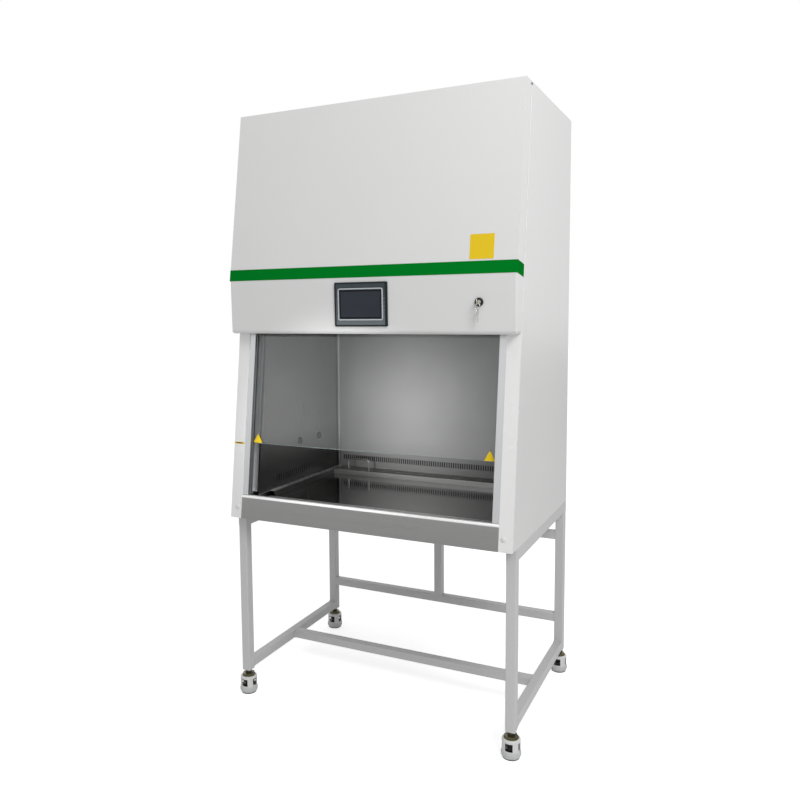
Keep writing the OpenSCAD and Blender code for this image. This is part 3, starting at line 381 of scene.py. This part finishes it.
WHITE = (0.80, 0.80, 0.795)
NYLON = ((0.86, 0.855, 0.85), 0.34, 0.0)
PASSIVATED = ((0.20, 0.185, 0.11), 0.3, 0.8)
PAD = ((0.015, 0.015, 0.016), 0.7, 0.0)
RING = ((0.66, 0.675, 0.67), 0.36, 0.0)
FAINT = 0.01 * MM                 # relief of the finest brush and of smooth plastic
finishes = {
    "casing": powder_coat("white_powder_coat", WHITE, 0.3),
    # the rear sheet's inner face carries painted shade, so the duct behind the slots reads dark
    "painted_shade_inside": coat_with_painted_shade_inside("white_coat_painted_shade_inside", WHITE, "rear_panel"),
    "stand": powder_coat("grey_powder_coat", (0.66, 0.66, 0.66), 0.38, 0.35),
    "weld": powder_coat("painted_weld", (0.64, 0.64, 0.64), 0.4),
    # the posts are given a whiter white than the casing
    "post": powder_coat("white_post_coat", (0.93, 0.93, 0.925), 0.28),
    "band": powder_coat("green_enamel", (0.001, 0.21, 0.020), 0.4, 0.0),
    "apron": brushed_sheet("stainless_apron", (0.34, 0.34, 0.337), 0, 0.3),
    "wall": brushed_sheet("stainless_rear_wall", (0.25, 0.25, 0.248), 0, 0.45, 0.4 * FAINT, 0.06, 0.45),
    # the side walls carry painted shade toward their foot and a painted highlight along their ledge's top
    "cheek": brushed_sheet("stainless_side_wall", (0.34, 0.34, 0.337), 2, 0.3, FAINT, 0.08,
                           foot=(0.86, 0.99, 0.4)),
    "ledge": brushed_sheet("stainless_ledge", (0.42, 0.42, 0.415), 0, 0.3, FAINT, 0.08, 0.7),
    # painted shade: the pan is made much darker than the other stainless, so the slots above it read dark
    "pan": brushed_sheet("stainless_pan_painted_shade", (0.15, 0.15, 0.149), 0),
    "tray": brushed_sheet("stainless_tray", (0.32, 0.32, 0.317), 0, 0.1, FAINT, 0.08),
    "arm": brushed_sheet("stainless_armrest", (0.92, 0.92, 0.915), 0, 0.25, 2 * FAINT, 0.05, 0.6),
    "wire": brushed_sheet("polished_wire", (0.68, 0.68, 0.67), 2, 0.14),
    "bright": brushed_sheet("ground_shaft", (0.66, 0.66, 0.66), 0, 0.16),
    "galvanised": plated("galvanised_sheet", (0.55, 0.56, 0.57), 0.36, (0.45, 0.46, 0.46)),
    "zinc": plated("zinc_plate", (0.60, 0.59, 0.52), 0.25),
    "stem": plated("dark_stem", (0.10, 0.095, 0.07), 0.35, (0.05, 0.05, 0.04)),
    "brass": plated("brass", (0.68, 0.49, 0.2), 0.24, (0.42, 0.28, 0.1)),
    "key": plated("nickel", (0.72, 0.71, 0.68), 0.16, (0.6, 0.58, 0.52)),
    "screw": plated("screw_zinc", (0.66, 0.66, 0.65), 0.22, (0.6, 0.58, 0.5)),
    "guide": drawn_aluminium("anodised_guide", (0.66, 0.67, 0.68)),
    "glass": clear_glass("sash_glass"),
    "edge": moulded("glass_edge", (0.16, 0.21, 0.195), 0.12, 0.003, 2 * FAINT, 0.12),
    "bezel": framed_bezel("slate_bezel"),
    "display": display_glass("display_glass"),
    "silver": moulded("light_ring", (0.52, 0.57, 0.6), 0.28, 0.0006, FAINT, 0.03),
    "lens": moulded("lens", (0.35, 0.42, 0.44), 0.15, 0.0006, FAINT, 0.03),
    "yellow": moulded("yellow_plate", (0.86, 0.60, 0.01), 0.32, 0.0009, 2 * FAINT, 0.03),
    "black": moulded("black_moulding", (0.014, 0.014, 0.015), 0.34),
    "plug": moulded("grey_plug", (0.012, 0.012, 0.013), 0.6, shine=0.0),
    "cap": moulded("white_cap", (0.82, 0.82, 0.81), 0.25),
    "red": moulded("red_grip", (0.45, 0.02, 0.015), 0.35),
    "cast": moulded("cast_iron_grey", (0.09, 0.095, 0.1), 0.5, 0.002, 0.2 * MM, 0.15),
    "wheel": moulded("black_wheel", (0.02, 0.02, 0.02), 0.45),
    "barrel": two_zones("nylon_and_zinc", BARREL_TOP, NYLON, PASSIVATED),
    "ring": two_zones("rubber_and_ring", PAD_TOP, PAD, RING),
    "belt": toothed_belt("toothed_belt"),
    "lamps": tube_lamp("lamp_tubes", "lamps"),
    "supply": filter_pack("supply_pleats", "supply_filter"),
    "exhaust": filter_pack("exhaust_pleats", "exhaust_filter"),
}
worn_by = {
    "casing": ["side_panel_left", "side_panel_right", "top_panel", "front_cowl"],
    "painted_shade_inside": ["rear_panel"],
    "post": ["post_left", "post_right"],
    "stand": ["stand_left", "stand_right", "stand_crossbars"],
    "band": ["green_band"],
    "apron": ["apron"],
    "wall": ["liner_rear"],
    "ledge": ["rear_grille"],
    "cheek": ["liner_left", "liner_right", "diffuser"],
    "pan": ["base_pan"],
    "arm": ["armrest"],
    "tray": ["work_tray"],
    "wire": ["tray_handles"],
    "galvanised": ["plenum", "blower_housing", "blower_rotor"],
    "zinc": ["cowl_hinge", "idler_pulleys"],
    "stem": ["caster_stems"],
    "bright": ["lift_shaft"],
    "guide": ["guide_left", "guide_right"],
    "glass": ["sash_glass"],
    "bezel": ["panel_bezel"],
    "display": ["panel_screen"],
    "black": ["key_switch", "power_inlet", "sash_clamps"],
    "plug": ["service_plugs"],
    "cap": ["post_caps"],
    "red": ["drain_lever"],
    "cast": ["blower_motor", "lift_motor"],
    "belt": ["lift_belts"],
    "brass": ["drain_valve"],
    "key": ["key", "spare_key"],
    "lamps": ["lamps"],
    "supply": ["supply_filter"],
    "exhaust": ["exhaust_filter"],
    "barrel": ["caster_body_" + corner for corner in CORNERS],
    "ring": ["foot_ring_" + corner for corner in CORNERS],
    "wheel": ["caster_wheel_" + corner for corner in CORNERS],
}
for finish, nodes in worn_by.items():
    for node in nodes:
        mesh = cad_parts[node].data
        mesh.materials.clear()
        mesh.materials.append(finishes[finish].material)


# ---------------------------------------------------------------- surfaces
def piece(name, grids, finish, body, smooth=True):
    """One mesh from grids of points, rows x columns x 3, each given as (points, rows join, columns join).

    Point (r, c) is joined to its neighbours in the next row and the next column; a direction
    that joins goes on from its last line to its first.
    """
    points, faces, start = [], [], 0
    for grid, rows_join, columns_join in grids:
        rows, columns = grid.shape[:2]
        row = np.arange(rows if rows_join else rows - 1)[:, None]
        column = np.arange(columns if columns_join else columns - 1)[None, :]
        next_row, next_column = (row + 1) % rows, (column + 1) % columns
        around = [(row, column), (row, next_column), (next_row, next_column), (next_row, column)]
        quads = np.stack([start + r * columns + c for r, c in around], axis=-1)
        points.append(grid.reshape(-1, 3))
        faces.append(quads.reshape(-1, 4))
        start += rows * columns
    mesh = bpy.data.meshes.new(name)
    mesh.from_pydata(np.concatenate(points).tolist(), [], np.concatenate(faces).tolist())
    tidy = bmesh.new()
    tidy.from_mesh(mesh)
    bmesh.ops.remove_doubles(tidy, verts=tidy.verts, dist=MERGE)
    bmesh.ops.recalc_face_normals(tidy, faces=tidy.faces)
    tidy.to_mesh(mesh)
    tidy.free()
    mesh.polygons.foreach_set("use_smooth", np.full(len(mesh.polygons), smooth))
    mesh.materials.append(finishes[finish].material)
    made = bpy.data.objects.new(name, mesh)
    bpy.context.scene.collection.objects.link(made)
    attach(made, body)


class Seat:
    """A flat place: a point on it, its rightward and upward directions and its outward normal."""

    def __init__(self, point, right, up):
        self.point = np.array(point, float)
        self.right = np.array(right, float) / np.linalg.norm(right)
        self.up = np.array(up, float) / np.linalg.norm(up)
        self.out = np.cross(self.right, self.up)

    def lay(self, local):
        """Local (right, up, out) coordinates to places in the frame."""
        right, up, out = (local[..., k:k + 1] for k in range(3))
        return self.point + right * self.right + up * self.up + out * self.out


def rounded_outline(width, height, radius, steps=6):
    """A rectangle's outline with its four corners turned on arcs, anticlockwise."""
    turn = np.linspace(0, np.pi / 2, steps)
    corner = radius * np.stack([np.cos(turn), np.sin(turn)], axis=-1)
    quarters = np.arange(4) * np.pi / 2
    spin = [np.array([[np.cos(a), np.sin(a)], [-np.sin(a), np.cos(a)]]) for a in quarters]
    middles = np.array([[1, 1], [-1, 1], [-1, -1], [1, -1]]) * [width / 2 - radius, height / 2 - radius]
    return np.concatenate([corner @ s + m for s, m in zip(spin, middles)])


def at_height(outline, height):
    """An outline of (right, up) pairs, all at one outward height."""
    return np.column_stack([outline, np.full(len(outline), height)])


def slab(outline_at, rings):
    """A flat body: outline_at(inset) laid at each ring's (inset, height), closed at its middle."""
    layers = [at_height(outline_at(inset), height) for inset, height in rings]
    middle = layers[-1].mean(axis=0)
    return np.stack(layers + [np.broadcast_to(middle, layers[-1].shape)])


def plate(name, seat, width, height, radius, thick, finish, body):
    """A rectangular plate with rounded corners and a small bevel, sunk a little into its place."""
    bevel = min(0.3 * MM, thick / 2)
    rings = [(0, -SUNK), (0, thick - bevel), (bevel, thick)]

    def outline_at(inset):
        """The plate's outline, shrunk by inset."""
        return rounded_outline(width - 2 * inset, height - 2 * inset, radius - inset)

    body_grid = (seat.lay(slab(outline_at, rings)), False, True)
    piece(name, [body_grid], finish, body, smooth=False)


def turned(centres, seat, profile, sides=16, closed=False):
    """Turned bodies at several places on a seat: (radius, height) pairs swept round the outward axis."""
    radius, height = np.array(profile, float).T[:, :, None]
    spin = np.linspace(0, 2 * np.pi, sides, endpoint=False)[None, :]
    body = np.stack([radius * np.cos(spin), radius * np.sin(spin), height * np.ones_like(spin)], axis=-1)
    return [(seat.lay(body + np.array([x, y, 0])), closed, True) for x, y in centres]


def domes(centres, seat, radius, rise):
    """Caps of one size at several places on a seat: ring radius R sin(t), height H cos(t)."""
    tilt = np.linspace(np.pi / 2, 0, 5)
    profile = np.stack([radius * np.sin(tilt), rise * np.cos(tilt)], axis=-1)
    return turned(centres, seat, profile, 14)


def bead(path, radius, sides=8, ripple=0.0, pitch=4 * MM):
    """A round bead along a closed path: circles square to it, rippling in radius with the length run."""
    path = np.asarray(path, float)
    ahead = np.roll(path, -1, axis=0) - np.roll(path, 1, axis=0)
    ahead /= np.linalg.norm(ahead, axis=1, keepdims=True)
    pole = np.where(np.abs(ahead[:, 2:3]) > 0.9, [[1.0, 0, 0]], [[0, 0, 1.0]])
    side = np.cross(ahead, pole)
    side /= np.linalg.norm(side, axis=1, keepdims=True)
    lift = np.cross(side, ahead)
    run = np.concatenate([[0], np.cumsum(np.linalg.norm(np.diff(path, axis=0), axis=1))])
    size = radius * (1 + ripple * np.sin(2 * np.pi * run / pitch))
    spin = np.linspace(0, 2 * np.pi, sides, endpoint=False)
    rim = side[:, None] * np.cos(spin)[None, :, None] + lift[:, None] * np.sin(spin)[None, :, None]
    return path[:, None] + rim * size[:, None, None], True, True


# ---------------------------------------------------------------- places on the cabinet
ACROSS = (1, 0, 0)
BACK = (0, 1, 0)
UP = (0, 0, 1)
UP_LEAN = (0, math.sin(LEAN), math.cos(LEAN))
post_lo, post_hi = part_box("post_right")
band_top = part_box("green_band")[1].z
cowl_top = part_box("front_cowl")[1].z
glass_lo, glass_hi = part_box("sash_glass")
bezel_lo, bezel_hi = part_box("panel_bezel")
screen_lo, screen_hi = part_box("panel_screen")
cowl_points = np.array([v.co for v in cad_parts["front_cowl"].data.vertices])
knee = cowl_points[cowl_points[:, 1].argmin(), 1:]
cowl_head = cowl_points[cowl_points[:, 2] > cowl_top - 1 * MM].min(axis=0)[1:]
up_cowl = (0, cowl_head[0] - knee[0], cowl_head[1] - knee[1])


def on_upper_cowl(x, z):
    """Seat on the cowl's upper face, which runs straight from its knee to its head."""
    share = (z - knee[1]) / (cowl_head[1] - knee[1])
    return Seat((x, knee[0] + share * (cowl_head[0] - knee[0]), z), ACROSS, up_cowl)


def on_post(x, z):
    """Seat on the leaning front of the posts."""
    return Seat((x, post_lo.y + (z - post_lo.z) * math.tan(LEAN), z), ACROSS, UP_LEAN)


# ---------------------------------------------------------------- bare plates and marks
NOTICE = 80 * MM
NOTICE_X = 423 * MM
NOTICE_GAP = 5 * MM               # between the notice and the green band
notice_seat = on_upper_cowl(NOTICE_X, band_top + NOTICE / 2 + NOTICE_GAP)
plate("yellow_notice", notice_seat, NOTICE, NOTICE, 2 * MM, 0.6 * MM, "yellow", "cowl")

TRIANGLE_X = 448 * MM
TRIANGLE_UP = 13 * MM             # from the sash's edge to the triangle's middle
TRIANGLE_RINGS = [(0, -0.05 * MM), (0, 0.3 * MM), (0.15 * MM, 0.4 * MM)]


def triangle_outline(inset, height=31 * MM, corner=2 * MM, steps=5):
    """An upright triangle with its corners turned on arcs, shrunk by inset."""
    reach = 2 / 3 * height - corner - inset
    points = []
    for heading in np.pi / 2 + np.arange(3) * 2 * np.pi / 3:
        middle = reach * np.array([np.cos(heading), np.sin(heading)])
        turn = np.linspace(heading - np.pi / 3, heading + np.pi / 3, steps)
        points.append(middle + corner * np.stack([np.cos(turn), np.sin(turn)], axis=-1))
    return np.concatenate(points)


triangle = slab(triangle_outline, TRIANGLE_RINGS)
sash_foot = np.array([0, glass_lo.y, glass_lo.z]) + TRIANGLE_UP * np.array(UP_LEAN)
for side, name in ((-1, "left"), (1, "right")):
    seat = Seat(sash_foot + np.array([side * TRIANGLE_X, 0, 0]), ACROSS, UP_LEAN)
    piece("glass_triangle_" + name, [(seat.lay(triangle), False, True)], "yellow", "sash",
          smooth=False)

MARK_H = 7 * MM
LINE_SHARE, LINE_H = 0.62, 3.4 * MM
post_w = post_hi.x - post_lo.x
mark_seat = on_post(-(post_lo.x + post_hi.x) / 2, glass_lo.z)
plate("height_mark", mark_seat, post_w - 1 * MM, MARK_H, 1 * MM, 0.3 * MM, "yellow", "cabinet")
plate("height_mark_line", mark_seat, post_w * LINE_SHARE, LINE_H, 0.6 * MM, 0.5 * MM,
      "black", "cabinet")

# ---------------------------------------------------------------- control panel trim
SCREEN_STEP = 2 * MM              # part of the screen's depth that isn't its lean
LIGHT_RING_OUT = 3.5 * MM         # from the screen's edge to the middle of the ring
LIGHT_RING_R = 2.4 * MM
LIGHT_RING_IN = 1.5 * MM          # its middle behind the panel's face
LIGHT_SIDE = 11 * MM              # indicator lights from the bezel's side
LIGHT_FOOT, LIGHT_PITCH = -18 * MM, 12 * MM
screen_w = screen_hi.x - screen_lo.x
screen_h = screen_hi.z - screen_lo.z
tilt = math.atan2(screen_hi.y - screen_lo.y - SCREEN_STEP, screen_h)
panel_up = (0, -math.sin(tilt), math.cos(tilt))
panel_middle = ((bezel_lo.x + bezel_hi.x) / 2, bezel_lo.y, (screen_lo.z + screen_hi.z) / 2)
panel = Seat(panel_middle, ACROSS, panel_up)
ring_outline = rounded_outline(screen_w + 2 * LIGHT_RING_OUT, screen_h + 2 * LIGHT_RING_OUT, 5 * MM, 10)
ring_path = panel.lay(at_height(ring_outline, -LIGHT_RING_IN))
piece("display_light_ring", [bead(ring_path, LIGHT_RING_R, 10)], "silver", "cowl")
light_x = (bezel_hi.x - bezel_lo.x) / 2 - LIGHT_SIDE
lights = [(light_x, LIGHT_FOOT + LIGHT_PITCH * k) for k in range(4)]
light_seat = Seat(panel.point - panel.out * 2 * MM, ACROSS, panel_up)
piece("panel_lights", domes(lights, light_seat, 1.5 * MM, 1.2 * MM), "lens", "cowl")

# ---------------------------------------------------------------- sash edge
edge_point = (0, glass_lo.y + GLASS_T / math.cos(LEAN) / 2, glass_lo.z - 0.1 * MM)
edge_seat = Seat(edge_point, ACROSS, (0, -math.cos(LEAN), math.sin(LEAN)))
plate("sash_lower_edge", edge_seat, glass_hi.x - glass_lo.x - 2 * MM, GLASS_T - 0.6 * MM, 1.2 * MM,
      0.9 * MM, "edge", "sash")

# ---------------------------------------------------------------- fasteners
SCREW_R = 4.2 * MM
# pan head with a round driving recess
SCREW = [(SCREW_R, -SUNK), (SCREW_R, 0.7 * MM), (SCREW_R * 0.86, 1.4 * MM), (SCREW_R * 0.55, 1.75 * MM),
         (SCREW_R * 0.42, 1.7 * MM), (SCREW_R * 0.36, 0.8 * MM), (0, 0.7 * MM)]
SMALL_SCREW = [(radius * 0.55, height * 0.6) for radius, height in SCREW]
SCREW_IN = 12 * MM                # screws from the edge of the rear sheet
END_SCREW_IN = 200 * MM           # first screw of its top and bottom rows from the corner
INLET_SCREW_IN = 3.2 * MM         # screws from the ends of the inlet's flange
FROM_BEHIND = (-1, 0, 0)          # rightward for someone who faces the back
rear_lo, rear_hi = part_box("rear_panel")
side_heights = np.linspace(rear_lo.z + 2 * SCREW_IN, rear_hi.z - 2 * SCREW_IN, 8)
end_places = np.linspace(rear_lo.x + END_SCREW_IN, rear_hi.x - END_SCREW_IN, 4)
rear_screws = [(x, z) for x in (SCREW_IN - rear_hi.x, rear_hi.x - SCREW_IN) for z in side_heights]
rear_screws += [(x, z) for z in (rear_lo.z + SCREW_IN, rear_hi.z - SCREW_IN) for x in end_places]
rear_seat = Seat((0, rear_hi.y, 0), FROM_BEHIND, UP)
piece("rear_screws", turned(rear_screws, rear_seat, SCREW), "screw", "cabinet")

inlet_lo, inlet_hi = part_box("power_inlet")
inlet_middle = ((inlet_lo.x + inlet_hi.x) / 2, inlet_hi.y, (inlet_lo.z + inlet_hi.z) / 2)
inlet_reach = (inlet_hi.x - inlet_lo.x) / 2 - INLET_SCREW_IN
inlet_screws = [(-inlet_reach, 0), (inlet_reach, 0)]
inlet_seat = Seat(inlet_middle, FROM_BEHIND, UP)
piece("inlet_screws", turned(inlet_screws, inlet_seat, SMALL_SCREW), "screw", "cabinet")

# ---------------------------------------------------------------- welds of the stand
WELD_R = 1.7 * MM


def weld_round(x, y, z, right):
    """Weld round a bar's end: a rippled bead on the bar's rounded outline, laid out by right and up."""
    outline = Seat((x, y, z), right, UP).lay(at_height(rounded_outline(TUBE, BAR_H, 3 * MM), 0))
    steps = np.linspace(0, 1, 6, endpoint=False)[None, :, None]
    fine = outline[:, None] * (1 - steps) + np.roll(outline, -1, axis=0)[:, None] * steps
    return bead(fine.reshape(-1, 3), WELD_R, 6, 0.2)


left_lo, left_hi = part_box("stand_left")
bars_lo, bars_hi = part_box("stand_crossbars")
foot_bar = bars_lo.z + BAR_H / 2
rear_leg = left_hi.y - TUBE / 2
side_middle = (left_lo.x + left_hi.x) / 2
cross_bars = [(rear_leg, REAR_BAR_Z + BAR_H / 2), (rear_leg, bars_hi.z - BAR_H / 2), (0, foot_bar)]
welds = [weld_round(side * side_middle, y, foot_bar, ACROSS)
         for side in (-1, 1) for y in (left_lo.y + TUBE, left_hi.y - TUBE)]
welds += [weld_round(end * left_hi.x, y, z, BACK) for end in (-1, 1) for y, z in cross_bars]
piece("stand_welds", welds, "weld", "cabinet")

# ---------------------------------------------------------------- inside the casters
CROWN_BORE, CROWN_R, CROWN_LOW_R = 8 * MM, 26.8 * MM, 23 * MM
CROWN = [(CROWN_BORE, 60.8 * MM), (CROWN_R, 60.8 * MM), (CROWN_R, 50 * MM), (CROWN_LOW_R, 46 * MM),
         (CROWN_BORE, 45.5 * MM)]
for corner in CORNERS:
    ring_lo, ring_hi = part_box("foot_ring_" + corner)
    axis = Seat(((ring_lo.x + ring_hi.x) / 2, (ring_lo.y + ring_hi.y) / 2, 0), ACROSS, BACK)
    piece("caster_crown_" + corner, turned([(0, 0)], axis, CROWN, 32, True), "wheel",
          "caster_" + corner)

# ---------------------------------------------------------------- floor and sky
FLOOR_HALF = 30                   # metres from the floor's middle to its edge
FLOOR_GLOW = 0.62                 # light the floor adds where the camera sees it
AMBIENT = 0.46                    # strength of the sky as a light

floor_paint = Finish("studio_floor")
seen = floor_paint.add("ShaderNodeLightPath", out="Is Camera Ray")
floor_paint.dress(Base_Color=(0.9, 0.9, 0.9), Roughness=0.7, Emission_Strength=1.0,
                  Emission_Color=floor_paint.blend(seen, (0, 0, 0), (FLOOR_GLOW,) * 3))
floor_mesh = bpy.data.meshes.new("studio_floor")
floor_corners = [(x * FLOOR_HALF, y * FLOOR_HALF, 0.0) for x, y in ((-1, -1), (1, -1), (1, 1), (-1, 1))]
floor_mesh.from_pydata(floor_corners, [], [(0, 1, 2, 3)])
floor_mesh.materials.append(floor_paint.material)
studio_floor = bpy.data.objects.new("studio_floor", floor_mesh)
bpy.context.scene.collection.objects.link(studio_floor)

world = bpy.data.worlds.new("studio")
bpy.context.scene.world = world
world.use_nodes = True
sky = Network(world.node_tree)
straight, mirrored, through = (sky.add("ShaderNodeLightPath", out=ray)
                               for ray in ("Is Camera Ray", "Is Glossy Ray", "Is Transmission Ray"))
white = straight.high(mirrored).high(through)
background = sky.nodes["Background"]
sky.put(background.inputs["Color"], (1, 1, 1))
sky.put(background.inputs["Strength"], white * (1 - AMBIENT) + AMBIENT)


# ---------------------------------------------------------------- lamps
def lamp(name, kind, place, target, power):
    """A lamp of one kind at place that faces target."""
    data = bpy.data.lights.new(name, kind)
    data.energy = power
    made = bpy.data.objects.new(name, data)
    made.location = place
    made.rotation_euler = (Vector(target) - Vector(place)).to_track_quat("-Z", "Y").to_euler()
    bpy.context.scene.collection.objects.link(made)
    return made


key_light = lamp("key_light", "AREA", (2.6, -2.2, 3.6), (0.3, 0, 1.5), 62)
key_light.data.size = 1.6
top_light = lamp("top_light", "AREA", (0.3, -1.2, 5.0), (0, 0, 1.5), 18)
top_light.data.size = 2.5

# a low lamp that shines in through the front opening on to the chamber's rear wall; hidden from
# mirror rays, so the closed sash doesn't show it as a white disc
chamber_light = lamp("chamber_light", "SPOT", (0.0, -3.2, 1.08), (-0.12, 0.31, 1.04), 1600)
chamber_light.data.spot_size = math.radians(10)
chamber_light.data.spot_blend = 1.0
chamber_light.data.shadow_soft_size = 0.25
chamber_light.visible_glossy = False

# ---------------------------------------------------------------- camera
CAMERA = (1.1988, -2.7013, 1.4620)
YAW, PITCH, ROLL = (math.radians(a) for a in (26.3, -5.2, -0.5))
PICTURE = 800                     # width and height of the picture in pixels
SENSOR = 36                       # width of the film in millimetres
FOCUS_PX = 772.3
CENTRE_PX = (372.8, 383.1)
ahead = Vector((-math.sin(YAW) * math.cos(PITCH), math.cos(YAW) * math.cos(PITCH), math.sin(PITCH)))
level_right = Vector((math.cos(YAW), math.sin(YAW), 0))
level_up = level_right.cross(ahead)
right = level_right * math.cos(ROLL) + level_up * math.sin(ROLL)
above = level_up * math.cos(ROLL) - level_right * math.sin(ROLL)
turn = Matrix((right, above, -ahead)).transposed().to_4x4()
camera = bpy.data.objects.new("camera", bpy.data.cameras.new("camera"))
camera.matrix_world = Matrix.Translation(CAMERA) @ turn
camera.data.sensor_width = SENSOR
camera.data.lens = FOCUS_PX / PICTURE * SENSOR
camera.data.shift_x = (PICTURE / 2 - CENTRE_PX[0]) / PICTURE
camera.data.shift_y = (CENTRE_PX[1] - PICTURE / 2) / PICTURE
camera.data.clip_start = 0.05
camera.data.clip_end = 100
bpy.context.scene.collection.objects.link(camera)
bpy.context.scene.camera = camera
bpy.context.scene.view_settings.view_transform = "Standard"
